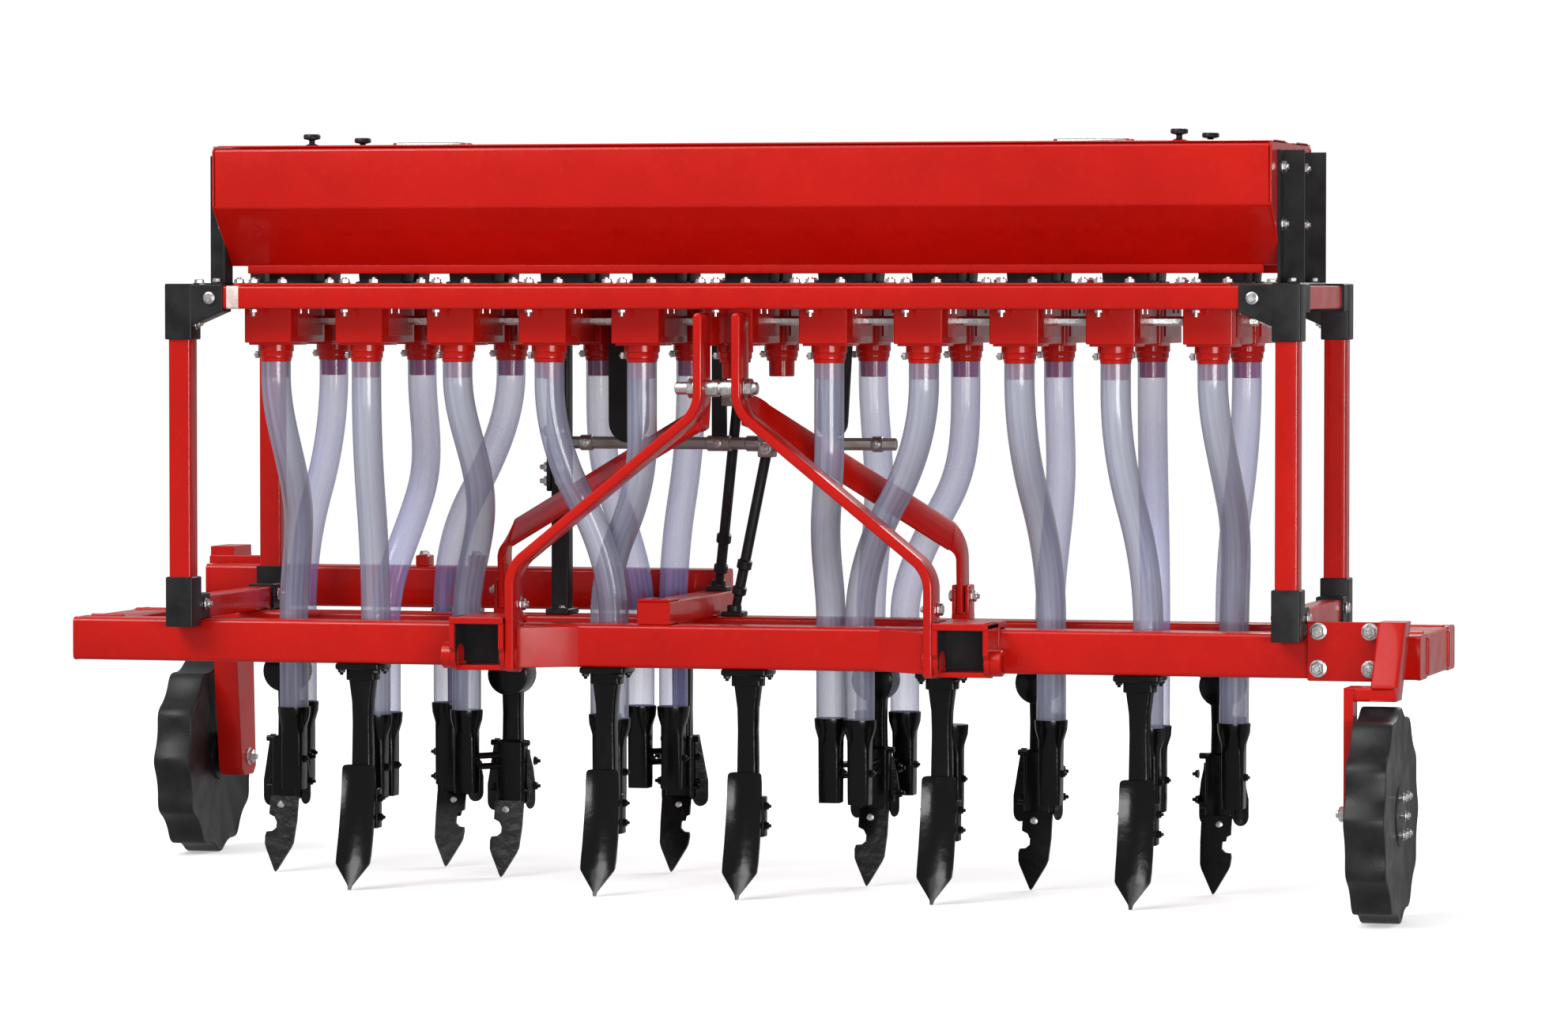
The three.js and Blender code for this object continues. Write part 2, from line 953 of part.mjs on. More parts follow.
piece(
  "left_wheel_arm",
  joined([
    block(
      leftArmX,
      leftArmX + 130,
      rearBeamBack + seat,
      rearBeamBack + seat + 10,
      railBottom - 22,
      railBottom + beamSize + 14,
    ),
    acrossX(
      [
        [rearBeamBack + seat + 8, railBottom],
        [leftWheelY - 38, wheelRadius - 34],
        [leftWheelY + 38, wheelRadius - 34],
        [leftWheelY + 14, railBottom + beamSize + 30],
        [rearBeamBack + seat + 8, railBottom + beamSize + 30],
      ],
      leftArmX,
      leftArmX + armWidth,
    ),
    axle(leftWheelX - 6, leftArmX + armWidth - 2, leftWheelY),
  ]),
  redPaint,
);

// Tines: a clamp under the beam, a shank that leans forward, a pointed shovel, and the boots
// that take the seed tubes
const shovelHeight = 215;
const shovelHalf = 30;
const shankHalf = 18;
const bootTop = 300;
const bootBottom = 150;
const cupHalf = seedTubeRadius + 3;

function shovel(x, y) {
  const profile = strip(
    [
      [y - 22, shovelHeight],
      [y - 26, 150],
      [y - 38, 95],
      [y - 56, 45],
      [y - 80, -6],
    ],
    9,
  );
  const bent = acrossX(profile, x - shovelHalf, x + shovelHalf);
  const face = acrossY(
    [
      [x, 0],
      [x + 13, 34],
      [x + shovelHalf, 60],
      [x + shovelHalf - 3, shovelHeight - 2],
      [x - shovelHalf + 3, shovelHeight - 2],
      [x - shovelHalf, 60],
      [x - 13, 34],
    ],
    y - 120,
    y + 20,
  );
  return bent.intersect(face);
}

function shank(x, y, top) {
  const profile = [
    [y - 15, top],
    [y - 15, 235],
    [y - 20, 160],
    [y - 38, 90],
    [y - 24, 84],
    [y - 4, 150],
    [y + 15, 235],
    [y + 15, top],
  ];
  return acrossX(profile, x - shankHalf, x + shankHalf);
}

// A tube boot: a funnel cup on a narrower box, tied to the shank by a flat bracket.
function boot(x, y, bootX, bootY) {
  const cup = block(
    bootX - cupHalf,
    bootX + cupHalf,
    bootY - cupHalf,
    bootY + cupHalf,
    bootTop - 34,
    bootTop,
  );
  const box = block(
    bootX - 20,
    bootX + 20,
    bootY - 20,
    bootY + 20,
    bootBottom,
    bootTop - 30,
  );
  const bracket = block(
    Math.min(x - 6, bootX - 6),
    Math.max(x + 6, bootX + 6),
    Math.min(y, bootY),
    Math.max(y, bootY),
    188,
    224,
  );
  return [cup, box, bracket];
}

function tine(x, y, top, boots) {
  const clampTop = top - seat;
  const clamp = block(x - 41, x + 41, y - 37, y + 37, clampTop - 10, clampTop);
  const spring = block(x - 23, x + 23, y - 24, y + 24, clampTop - 46, clampTop - 8);
  return joined([
    clamp,
    spring,
    shank(x, y, clampTop - 4),
    shovel(x, y),
    ...boots.flatMap(([bootX, bootY]) => boot(x, y, bootX, bootY)),
  ]);
}

const frontTineY = beamSize / 2;
const middleTineY = middleBeamY + beamSize / 2;
const rearTineY = rearBeamY + beamSize / 2;
const frontBootY = beamSize + seedTubeRadius + 6;
const deepBootY = frontBootY + 104;
const secondBootY = frontBootY + 2 * cupHalf;
const middleBootY = middleBeamY - seedTubeRadius - 12;
const behindBootY = middleBeamBack + seedTubeRadius + 12;
const rearBootY = rearTineY - 62;
const tines = [
  { x: -918, y: middleTineY, boots: [[-882, middleBootY], [-918, behindBootY]] },
  { x: -675, y: frontTineY, boots: [[-675, frontBootY], [-675, secondBootY]] },
  { x: -652, y: rearTineY, boots: [[-652, rearBootY]] },
  { x: -492, y: middleTineY, boots: [[-556, middleBootY]] },
  { x: -228, y: frontTineY, boots: [[-236, frontBootY], [-283, deepBootY]] },
  { x: -225, y: rearTineY, boots: [[-225, rearBootY], [-287, rearBootY]] },
  { x: 27, y: frontTineY, boots: [] },
  {
    x: 182,
    y: middleTineY,
    boots: [[130, deepBootY], [190, deepBootY - 30], [152, behindBootY], [214, behindBootY]],
  },
  { x: 372, y: frontTineY, boots: [[372, frontBootY]] },
  { x: 478, y: middleTineY, boots: [[514, middleBootY], [478, behindBootY]] },
  { x: 718, y: frontTineY, boots: [[718, frontBootY], [718, secondBootY]] },
  { x: 802, y: middleTineY, boots: [[838, middleBootY], [802, behindBootY]] },
];
tines.forEach(({ x, y, boots }, i) => {
  const top = y === rearTineY ? railBottom : beamBottom;
  piece("tine_" + (i + 1), tine(x, y, top, boots), blackPaint);
});

// Seed tubes: clear hose from a front spout to a boot, in one easy curve
const tubeRuns = [
  { unit: 1, tine: 0, boot: 0, bow: 22, high: 900 },
  { unit: 2, tine: 1, boot: 0, bow: 0, high: 880 },
  { unit: 3, tine: 3, boot: 0, bow: 34, high: 900 },
  { unit: 4, tine: 4, boot: 0, bow: 0, high: 890 },
  { unit: 5, tine: 4, boot: 1, bow: 0, high: 790 },
  { unit: 7, tine: 7, boot: 0, bow: -8, high: 770 },
  { unit: 8, tine: 7, boot: 1, bow: 0, high: 890 },
  { unit: 9, tine: 9, boot: 0, bow: 0, high: 900 },
  { unit: 10, tine: 10, boot: 0, bow: 0, high: 880 },
  { unit: 11, tine: 11, boot: 0, bow: 14, high: 900 },
];
const straightLow = 470;
const routeHeights = [890, 840, 790, 740, 690, 640, 590, 540, 500, 470, 420, 360];

// The line of one tube: straight out of the spout, an eased shift across, straight to the boot.
function route({ unit, tine: index, boot: which, bow, high }) {
  const startX = unitX[unit - 1];
  const [endX, endY] = tines[index].boots[which];
  const points = [spoutBottom, ...routeHeights].map((z) => {
    const t = THREE.MathUtils.clamp((high - z) / (high - straightLow), 0, 1);
    const eased = t < 0.5 ? 2 * t * t : 1 - 2 * (1 - t) * (1 - t);
    const swing = bow * Math.sin(Math.PI * t) ** 2;
    return [
      startX + (endX - startX) * eased + swing,
      spoutFrontY + (endY - spoutFrontY) * eased,
      z,
    ];
  });
  return [...points, [endX, endY, bootTop + seat]];
}

for (const run of tubeRuns) {
  const name = "seed_tube_" + String(run.unit).padStart(2, "0");
  piece(name, tubeAlong(route(run), seedTubeRadius, 12, 8), clearHose);
}

// The frame's origin is the middle of the drill's footprint, at the ground
const bounds = new THREE.Box3().setFromObject(drill);
const middle = bounds.getCenter(new THREE.Vector3());
drill.position.set(-middle.x, -middle.y, 0);

export default drill;
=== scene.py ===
import math

import bpy
import numpy as np
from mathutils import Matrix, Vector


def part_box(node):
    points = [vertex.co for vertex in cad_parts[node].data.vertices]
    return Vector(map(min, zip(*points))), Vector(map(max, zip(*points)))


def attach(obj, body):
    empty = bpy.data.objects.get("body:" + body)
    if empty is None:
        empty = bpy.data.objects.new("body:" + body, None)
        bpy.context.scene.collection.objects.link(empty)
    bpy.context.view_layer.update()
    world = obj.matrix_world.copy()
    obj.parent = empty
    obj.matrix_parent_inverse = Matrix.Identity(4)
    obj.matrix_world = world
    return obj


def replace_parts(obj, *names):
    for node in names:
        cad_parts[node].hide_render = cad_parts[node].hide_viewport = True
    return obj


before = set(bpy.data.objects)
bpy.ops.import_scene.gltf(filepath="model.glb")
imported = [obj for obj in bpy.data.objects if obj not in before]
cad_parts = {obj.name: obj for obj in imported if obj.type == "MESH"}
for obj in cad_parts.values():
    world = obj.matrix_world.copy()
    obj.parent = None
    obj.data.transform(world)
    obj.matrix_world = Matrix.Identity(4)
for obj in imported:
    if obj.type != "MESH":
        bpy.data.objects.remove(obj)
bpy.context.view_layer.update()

# ---------------------------------------------------------------- Camera
# A long lens from the tractor side, a little to the right of the middle and at the height of
# the raised frame, looking slightly down.
front_beam_low, front_beam_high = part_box("front_beam")
beam_size = front_beam_high.z - front_beam_low.z
front_face = front_beam_high.y - beam_size
camera_data = bpy.data.cameras.new("camera")
camera_data.lens = 145.2
camera_data.sensor_width = 36
camera_data.clip_end = 200
camera = bpy.data.objects.new("camera", camera_data)
bpy.context.collection.objects.link(camera)
bearing = math.radians(15.25)
reach = 10.9
aim_x = 0.0255
lens_height = 1.045
look_down = 1.93
look_left = 14.80
camera_y = front_face - reach * math.cos(bearing)
camera.location = (aim_x + reach * math.sin(bearing), camera_y, lens_height)
camera.rotation_euler = (math.radians(90 - look_down), 0, math.radians(look_left))
bpy.context.scene.camera = camera

# ---------------------------------------------------------------- Studio
# A pale floor without an edge, a white room, a broad even light from above, and three soft
# panels: high at the left, low at the right, so that the spouts under the deck are not lost
# in its shade, and behind, for bright edges on the tubes.
floor_data = bpy.data.meshes.new("floor")
far = 40
floor_corners = [(-far, -far, 0), (far, -far, 0), (far, far, 0), (-far, far, 0)]
floor_data.from_pydata(floor_corners, [], [(0, 1, 2, 3)])
floor = bpy.data.objects.new("floor", floor_data)
bpy.context.collection.objects.link(floor)
floor_finish = bpy.data.materials.new("floor_finish")
floor_finish.use_nodes = True
floor_shader = floor_finish.node_tree.nodes["Principled BSDF"]
floor_shader.inputs["Base Color"].default_value = (0.86, 0.86, 0.87, 1)
floor_shader.inputs["Emission Color"].default_value = (1, 1, 1, 1)
floor_shader.inputs["Emission Strength"].default_value = 0.40
floor_shader.inputs["Roughness"].default_value = 0.85
floor_shader.inputs["Specular IOR Level"].default_value = 0.1
floor_data.materials.append(floor_finish)
floor.visible_diffuse = False
floor.visible_glossy = False

room = bpy.data.worlds.new("room")
room.use_nodes = True
backdrop = room.node_tree.nodes["Background"]
backdrop.inputs["Color"].default_value = (1, 1, 1, 1)
seen = room.node_tree.nodes.new("ShaderNodeLightPath")
strength = room.node_tree.nodes.new("ShaderNodeMath")
strength.operation = "MULTIPLY_ADD"
strength.inputs[1].default_value = 0.62
strength.inputs[2].default_value = 0.42
room.node_tree.links.new(seen.outputs["Is Camera Ray"], strength.inputs[0])
room.node_tree.links.new(strength.outputs[0], backdrop.inputs["Strength"])
bpy.context.scene.world = room
bpy.context.scene.view_settings.view_transform = "Standard"


def soft_panel(name, place, aim, width, height, power):
    """A rectangle of light at a place, turned so that it shines on a point."""
    light = bpy.data.lights.new(name, "AREA")
    light.shape = "RECTANGLE"
    light.size = width
    light.size_y = height
    light.energy = power
    panel = bpy.data.objects.new(name, light)
    bpy.context.collection.objects.link(panel)
    way = np.subtract(aim, place)
    panel.location = place
    panel.rotation_euler = (
        math.atan2(math.hypot(way[0], way[1]), -way[2]),
        0,
        math.atan2(way[1], way[0]) - math.pi / 2,
    )


overhead = bpy.data.objects.new("overhead", bpy.data.lights.new("overhead", "SUN"))
overhead.data.energy = 1.2
overhead.data.angle = math.radians(45)
overhead.rotation_euler = (math.radians(37), 0, math.radians(-37))
bpy.context.collection.objects.link(overhead)
soft_panel("key_panel", (-3.2, -4.5, 4.6), (0, 0, 0.6), 3.2, 2.2, 170)
soft_panel("low_panel", (3.7, -6.0, 0.75), (0, 0, 0.85), 3.4, 1.2, 215)
soft_panel("back_panel", (1.5, 4.6, 3.6), (0, 0, 0.8), 4.0, 1.6, 160)


# ---------------------------------------------------------------- Seed tubes
# Cloudy clear PVC hose, 52 mm across, pushed over a spout above and let into a boot below.
# The hose is soft enough to lean and bow between the two, and never kinks.
class Wire:
    """One socket of a shader, so that arithmetic on sockets reads as arithmetic."""

    def __init__(self, tree, socket):
        self.tree = tree
        self.socket = socket

    def node(self, kind, settings, sockets, out=0):
        """Adds a node, sets its settings and then its sockets, and returns one output."""
        made = self.tree.nodes.new(kind)
        for key, value in settings.items():
            if key == "stops":
                while len(made.color_ramp.elements) < len(value):
                    made.color_ramp.elements.new(0.5)
                for stop, (place, shade) in zip(made.color_ramp.elements, value):
                    stop.position = place
                    stop.color = (shade, shade, shade, 1)
            else:
                setattr(made, key, value)
        for key, value in sockets.items():
            if isinstance(value, Wire):
                self.tree.links.new(value.socket, made.inputs[key])
            else:
                made.inputs[key].default_value = value
        return Wire(self.tree, made.outputs[out])

    def math(self, operation, first, second):
        """One sum, product or difference of two sockets or numbers."""
        settings = {"operation": operation}
        return self.node("ShaderNodeMath", settings, {0: first, 1: second})

    def __add__(self, other):
        return self.math("ADD", self, other)

    __radd__ = __add__

    def __mul__(self, other):
        return self.math("MULTIPLY", self, other)

    __rmul__ = __mul__

    def __sub__(self, other):
        return self.math("SUBTRACT", self, other)

    def __rsub__(self, other):
        return self.math("SUBTRACT", other, self)

    def noise(self, size, detail=2.0, stretch=(1, 1, 1)):
        """Noise from 0 to 1 whose lumps are about size metres, longer where stretch is more."""
        scale = tuple(1 / (size * s) for s in stretch)
        placed = self.node("ShaderNodeMapping", {}, {"Vector": self, "Scale": scale})
        return self.node(
            "ShaderNodeTexNoise", {}, {"Vector": placed, "Scale": 1.0, "Detail": detail}
        )

    def ramp(self, low, high, dark=0.0, light=1.0):
        """The value spread from dark at low to light at high."""
        stops = [(low, dark), (high, light)]
        return self.node("ShaderNodeValToRGB", {"stops": stops}, {"Fac": self})

    def blend(self, first, second):
        """A colour between two colours, by this value."""
        settings = {"data_type": "RGBA"}
        sockets = {0: self, 6: first, 7: second}
        return self.node("ShaderNodeMix", settings, sockets, out=2)

    def bump(self, depth, strength=1.0):
        """A surface that rises and falls with this value, depth metres at the most."""
        sockets = {"Height": self, "Distance": depth, "Strength": strength}
        return self.node("ShaderNodeBump", {}, sockets)

    def into(self, shader, name):
        """Leads this value into a socket of the shader."""
        self.tree.links.new(self.socket, shader.inputs[name])


def new_finish(name, slot, **constants):
    """A material, its shader with the constant sockets set, and the coordinates. The slot argument is not
    used.
    """
    finish = bpy.data.materials.new(name)
    finish.use_nodes = True
    tree = finish.node_tree
    shader = tree.nodes["Principled BSDF"]
    for key, value in constants.items():
        shader.inputs[key.replace("_", " ")].default_value = value
    spot = tree.nodes.new("ShaderNodeTexCoord").outputs["Object"]
    return finish, shader, Wire(tree, spot)


def colour(red, green, blue):
    """An opaque colour in linear light."""
    return (red, green, blue, 1)


def clear_hose(name, body, blue):
    """Bluish PVC, denser at its edges: flow lines keep their place round the hose all along."""
    finish, shader, spot = new_finish(name, "clear_hose", IOR=1.45, Coat_Roughness=0.06)
    section = spot.node("ShaderNodeUVMap", {"uv_map": "section"}, {})
    along = spot.node("ShaderNodeSeparateXYZ", {}, {0: spot}, out=2)
    round_x = spot.node("ShaderNodeSeparateXYZ", {}, {0: section}, out=0)
    round_y = spot.node("ShaderNodeSeparateXYZ", {}, {0: section}, out=1)
    drawn = spot.node("ShaderNodeCombineXYZ", {}, {0: round_x, 1: round_y, 2: along * 0.03})
    flow = drawn.noise(0.008, 3).ramp(0.32, 0.70)
    cloud = spot.noise(0.10, 3, (1, 1, 2)).ramp(0.3, 0.75)
    edge = spot.node("ShaderNodeLayerWeight", {}, {"Blend": 0.5}, out=1)
    tint = flow.blend(colour(0.235, 0.255, 0.365 * blue), colour(0.40, 0.43, 0.56 * blue))
    (edge * edge * 0.8).blend(tint, colour(0.16, 0.175, 0.26 * blue)).into(shader, "Base Color")
    (edge * 0.34 + flow * 0.10 + cloud * 0.08 + body).into(shader, "Alpha")
    (0.12 + cloud * 0.10).into(shader, "Roughness")
    (0.4 + cloud * 0.3).into(shader, "Coat Weight")
    (flow * 0.8 + spot.noise(0.05, 2) * 0.8).bump(0.0010, 0.4).into(shader, "Normal")
    return finish


# The rear row's copy of the hose material is clearer and has its blue raised: the extra blue is painted to
# make up for the back panel's light, which greys those hoses.
hoses = {"front": clear_hose("clear_hose", 0.47, 1.0), "rear": clear_hose("rear_hose_backlight_tint", 0.31, 1.45)}


def loft(rings):
    """Neighbouring rings joined by quads, and a flat face on the first and the last ring.

    rings is stations x points x 3. Where the enclosed volume, a sum of tetrahedra from the
    middle, comes out negative, every face is turned round so that all of them point out.
    """
    rings = np.asarray(rings, float)
    stations, points = rings.shape[:2]
    index = np.arange(stations * points).reshape(stations, points)
    a, b = index[:-1], index[1:]
    quads = np.stack([a, np.roll(a, -1, 1), np.roll(b, -1, 1), b], -1).reshape(-1, 4)
    spots = rings.reshape(-1, 3)
    p = spots - spots.mean(0)
    split = [quads[:, [0, 1, 2]], quads[:, [0, 2, 3]]]
    for cap in (index[0][::-1], index[-1]):
        fan = np.stack([np.full(points - 2, cap[0]), cap[1:-1], cap[2:]], -1)
        split.append(fan)
    tri = p[np.concatenate(split)]
    volume = np.einsum("ij,ij->", tri[:, 0], np.cross(tri[:, 1], tri[:, 2]))
    faces = quads.tolist() + [index[0][::-1].tolist(), index[-1].tolist()]
    return spots, faces if volume > 0 else [face[::-1] for face in faces]


def piece(name, shapes, finish, body="frame", sharp=32, bevel=0.0):
    """One object from several closed shapes, smooth but for the edges sharper than an angle."""
    spots = np.concatenate([s for s, _ in shapes])
    starts = np.cumsum([0] + [len(s) for s, _ in shapes[:-1]])
    faces = [[v + start for v in f] for (_, fs), start in zip(shapes, starts) for f in fs]
    mesh = bpy.data.meshes.new(name)
    mesh.from_pydata(spots.tolist(), [], faces)
    mesh.shade_smooth()
    mesh.set_sharp_from_angle(angle=math.radians(sharp))
    mesh.materials.append(finish)
    made = bpy.data.objects.new(name, mesh)
    bpy.context.collection.objects.link(made)
    if bevel:
        rounding = made.modifiers.new("edges", "BEVEL")
        rounding.width = bevel
        rounding.segments = 2
        rounding.limit_method = "ANGLE"
        rounding.angle_limit = math.radians(40)
        rounding.harden_normals = True
    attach(made, body)
    return made


def swept(outline, path, side=(0, 1, 0)):
    """An outline carried along a path: a point is path + u * across + v * up.

    up is the part of side that is square to the path, and across is square to both.
    outline is points x 2, or stations x points x 2 where it changes on the way.
    """
    path = np.asarray(path, float)
    along = np.gradient(path, axis=0)
    along /= np.linalg.norm(along, axis=1, keepdims=True)
    up = np.asarray(side, float) - along * (along @ np.asarray(side, float))[:, None]
    up /= np.linalg.norm(up, axis=1, keepdims=True)
    across = np.cross(up, along)
    outline = np.broadcast_to(outline, (len(path),) + np.shape(outline)[-2:])
    shift = outline[..., :1] * across[:, None] + outline[..., 1:] * up[:, None]
    return loft(path[:, None] + shift)


def circle(radius, count=20):
    """Points evenly round a circle about the origin."""
    turn = np.arange(count) * 2 * np.pi / count
    return np.stack([radius * np.cos(turn), radius * np.sin(turn)], -1)


feed_low, feed_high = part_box("front_feed_units")
unit_count = 11
unit_pitch = 0.168
middle_x = (feed_low.x + feed_high.x) / 2
unit_x = middle_x + (np.arange(unit_count) - 5) * unit_pitch
spout_z = 0.924
hopper_low, hopper_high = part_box("hopper")
hopper_middle = (hopper_low.y + hopper_high.y) / 2
row_half_gap = 0.1575
spout_y = {"front": hopper_middle - row_half_gap, "rear": hopper_middle + row_half_gap}
boot_top = 0.3
low_straight = 0.47
hose_radius = 0.026


# unit, row, boot from the middle of the units and from the front beam, bow to the side, height
# where the lean starts
hose_runs = [
    (1, "front", -0.882, 0.262, 0.022, 0.900),
    (2, "front", -0.675, 0.107, 0.0, 0.880),
    (3, "front", -0.556, 0.262, 0.034, 0.900),
    (4, "front", -0.236, 0.107, 0.0, 0.890),
    (5, "front", -0.283, 0.211, 0.0, 0.790),
    (7, "front", 0.130, 0.211, -0.008, 0.770),
    (8, "front", 0.190, 0.181, 0.0, 0.890),
    (9, "front", 0.514, 0.262, 0.0, 0.900),
    (10, "front", 0.718, 0.107, 0.0, 0.880),
    (11, "front", 0.838, 0.262, 0.014, 0.900),
    (1, "rear", -0.918, 0.413, 0.0, 0.900),
    (2, "rear", -0.675, 0.165, 0.030, 0.900),
    (3, "rear", -0.652, 0.4505, -0.010, 0.900),
    (4, "rear", -0.287, 0.4505, -0.012, 0.880),
    (5, "rear", -0.225, 0.4505, 0.0, 0.880),
    (7, "rear", 0.152, 0.413, 0.012, 0.900),
    (8, "rear", 0.214, 0.413, 0.020, 0.880),
    (9, "rear", 0.478, 0.413, 0.010, 0.900),
    (10, "rear", 0.718, 0.165, 0.0, 0.900),
    (11, "rear", 0.802, 0.413, 0.0, 0.900),
]


def hose_line(start, end, bow, high, count=48):
    """From the spout straight down, an eased lean with a bow, and straight into the boot.

    The lean goes from 0 to 1 as two halves of a parabola between the high and the low
    height, and the bow is a squared sine over the same stretch.
    """
    z = np.linspace(spout_z, boot_top, count)
    t = np.clip((high - z) / (high - low_straight), 0, 1)
    lean = np.where(t < 0.5, 2 * t * t, 1 - 2 * (1 - t) ** 2)
    x = start[0] + (end[0] - start[0]) * lean + bow * np.sin(np.pi * t) ** 2
    y = start[1] + (end[1] - start[1]) * lean
    return np.stack([x, y, z], -1)


for unit, row, boot_x, boot_y, bow, high in hose_runs:
    boot = (middle_x + boot_x, front_face + boot_y)
    line = hose_line((unit_x[unit - 1], spout_y[row]), boot, bow, high)
    section = circle(hose_radius, 24)
    made = piece(f"hose_{row}_{unit:02d}", [swept(section, line)], hoses[row])
    corner_spots = np.empty(len(made.data.loops), int)
    made.data.loops.foreach_get("vertex_index", corner_spots)
    around = made.data.uv_layers.new(name="section")
    around.data.foreach_set("uv", section[corner_spots % len(section)].ravel())
    length = float(np.linalg.norm(np.diff(line, axis=0), axis=1).sum())
    if row == "front":
        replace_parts(made, f"seed_tube_{unit:02d}")


# ---------------------------------------------------------------- Lower frame
# Square steel tube, 75 mm, welded into a ladder and closed with end caps, under a coat of red
# enamel. The rear beam and three rails lie on top of it.
def red_enamel():
    """Red gloss enamel: a slow change of tone, fine orange peel, and a little dust."""
    constants = {"Coat_Roughness": 0.09, "Specular_IOR_Level": 0.14}
    finish, shader, spot = new_finish("red_enamel", "red_paint", **constants)
    tone = spot.noise(0.35, 3).ramp(0.3, 0.7)
    cloud = spot.noise(0.05, 4).ramp(0.35, 0.75)
    dust = spot.noise(0.016, 5).ramp(0.55, 0.85)
    shade = tone * 0.7 + cloud * 0.3
    paint = shade.blend(colour(0.44, 0.0042, 0.0018), colour(0.56, 0.0080, 0.0032))
    dusty = (dust * 0.05).blend(paint, colour(0.55, 0.08, 0.06))
    dusty.into(shader, "Base Color")
    (0.24 + cloud * 0.12 + dust * 0.10).into(shader, "Roughness")
    (0.34 - cloud * 0.14).into(shader, "Coat Weight")
    peel = spot.noise(0.0022, 2) + spot.noise(0.012, 2) * 1.5
    peel.bump(0.00016, 0.35).into(shader, "Normal")
    return finish


def black_enamel():
    """Satin black over steel, with faint rub marks."""
    finish, shader, spot = new_finish("black_enamel", "black_paint", Specular_IOR_Level=0.28)
    cloud = spot.noise(0.04, 4).ramp(0.35, 0.75)
    cloud.blend(colour(0.008, 0.008, 0.009), colour(0.020, 0.020, 0.022)).into(
        shader, "Base Color"
    )
    (0.34 + cloud * 0.18).into(shader, "Roughness")
    spot.noise(0.0016, 3).bump(0.00015, 0.6).into(shader, "Normal")
    return finish


def zinc_plate():
    """Bright zinc on bolts: cloudy crystals and a dull film in places."""
    finish, shader, spot = new_finish("zinc_plate", "zinc", Metallic=1.0)
    bloom = spot.noise(0.006, 4).ramp(0.3, 0.7)
    bloom.blend(colour(0.52, 0.52, 0.53), colour(0.80, 0.80, 0.78)).into(shader, "Base Color")
    (0.22 + bloom * 0.22).into(shader, "Roughness")
    spot.noise(0.0012, 3).bump(0.0001, 0.5).into(shader, "Normal")
    return finish


red = red_enamel()
black = black_enamel()
zinc = zinc_plate()


def rounded(half_width, half_height, radius, steps=4):
    """A rectangle's outline with quarter circles at its corners."""
    radius = min(radius, 0.98 * half_width, 0.98 * half_height)
    turn = np.linspace(0, np.pi / 2, steps)
    arc = radius * np.stack([np.cos(turn), np.sin(turn)], -1)
    corners = []
    for quarter in range(4):
        c, s = round(math.cos(quarter * math.pi / 2)), round(math.sin(quarter * math.pi / 2))
        sign = np.array([(1, 1), (-1, 1), (-1, -1), (1, -1)][quarter])
        middle = sign * (half_width - radius, half_height - radius)
        corners.append(middle + arc @ np.array([[c, s], [-s, c]]))
    return np.concatenate(corners)


def bar(low, high, axis=0, radius=0.006, ease=0.0015):
    """A bar of rounded rectangular section between two corners, with eased ends."""
    low, high = np.asarray(low, float), np.asarray(high, float)
    u, v = [k for k in range(3) if k != axis]
    middle = (low + high) / 2
    half = (high - low) / 2
    stations = [(low[axis], ease), (low[axis] + ease, 0), (high[axis] - ease, 0), (high[axis], ease)]
    rings = []
    for place, inset in stations:
        outline = rounded(half[u] - inset, half[v] - inset, radius)
        ring = np.empty((len(outline), 3))
        ring[:, axis] = place
        ring[:, u] = middle[u] + outline[:, 0]
        ring[:, v] = middle[v] + outline[:, 1]
        rings.append(ring)
    return loft(rings)


def plate(outline, axis, start, end):
    """An outline carried straight along one axis; its two columns are the other two axes."""
    outline = np.asarray(outline, float)
    u, v = [k for k in range(3) if k != axis]
    rings = np.empty((2, len(outline), 3))
    rings[:, :, u] = outline[:, 0]
    rings[:, :, v] = outline[:, 1]
    rings[0, :, axis] = start
    rings[1, :, axis] = end
    return loft(rings)


def turned(profile, origin, axis=(0, 0, 1), sides=20):
    """A profile of radii and heights carried round an axis through the origin given."""
    axis = np.asarray(axis, float) / np.linalg.norm(axis)
    other = (1, 0, 0) if abs(axis[0]) < 0.9 else (0, 1, 0)
    a = np.cross(axis, other)
    a /= np.linalg.norm(a)
    b = np.cross(axis, a)
    turn = np.arange(sides) * 2 * np.pi / sides
    round_about = np.cos(turn)[:, None] * a + np.sin(turn)[:, None] * b
    rings = [np.asarray(origin) + h * axis + r * round_about for r, h in profile]
    return loft(rings)


def bolt(place, way, size=0.0095, stub=0.0):
    """A hexagon head on its washer, standing on a face at place and pointing along way."""
    washer = turned([(size * 1.2, 0), (size * 1.25, 0.0012), (size * 1.1, 0.0018)], place, way, 14)
    head = [(size, 0.0016), (size, 0.0016 + size * 0.55), (size * 0.84, 0.0016 + size * 0.7)]
    shapes = [washer, turned(head, place, way, 6)]
    if stub:
        tip = 0.0016 + size * 0.7 + stub
        shapes.append(
            turned([(size * 0.5, 0), (size * 0.5, tip), (size * 0.4, tip + 0.001)], place, way, 10)
        )
    return shapes


def weld(start, end, radius=0.0032):
    """A weld bead between two points: a round bar whose radius ripples every 4 mm."""
    start, end = np.asarray(start, float), np.asarray(end, float)
    length = np.linalg.norm(end - start)
    count = max(4, int(length / 0.002))
    s = np.linspace(0, 1, count)
    swell = 1 + 0.16 * np.sin(s * length / 0.004 * 2 * np.pi)
    swell[[0, -1]] = 0.5
    path = start + s[:, None] * (end - start)
    side = (0, 0, 1) if abs(end[2] - start[2]) < 0.5 * length else (0, 1, 0)
    return swept(circle(radius, 8)[None] * swell[:, None, None], path, side)
def bars(origin, *rows):
    """Bars about one origin, from rows of two corners, an axis, a radius and an ease."""
    made = []
    for one, other, *rest in rows:
        low, high = np.minimum(one, other), np.maximum(one, other)
        made.append(bar(np.add(origin, low), np.add(origin, high), *rest))
    return made


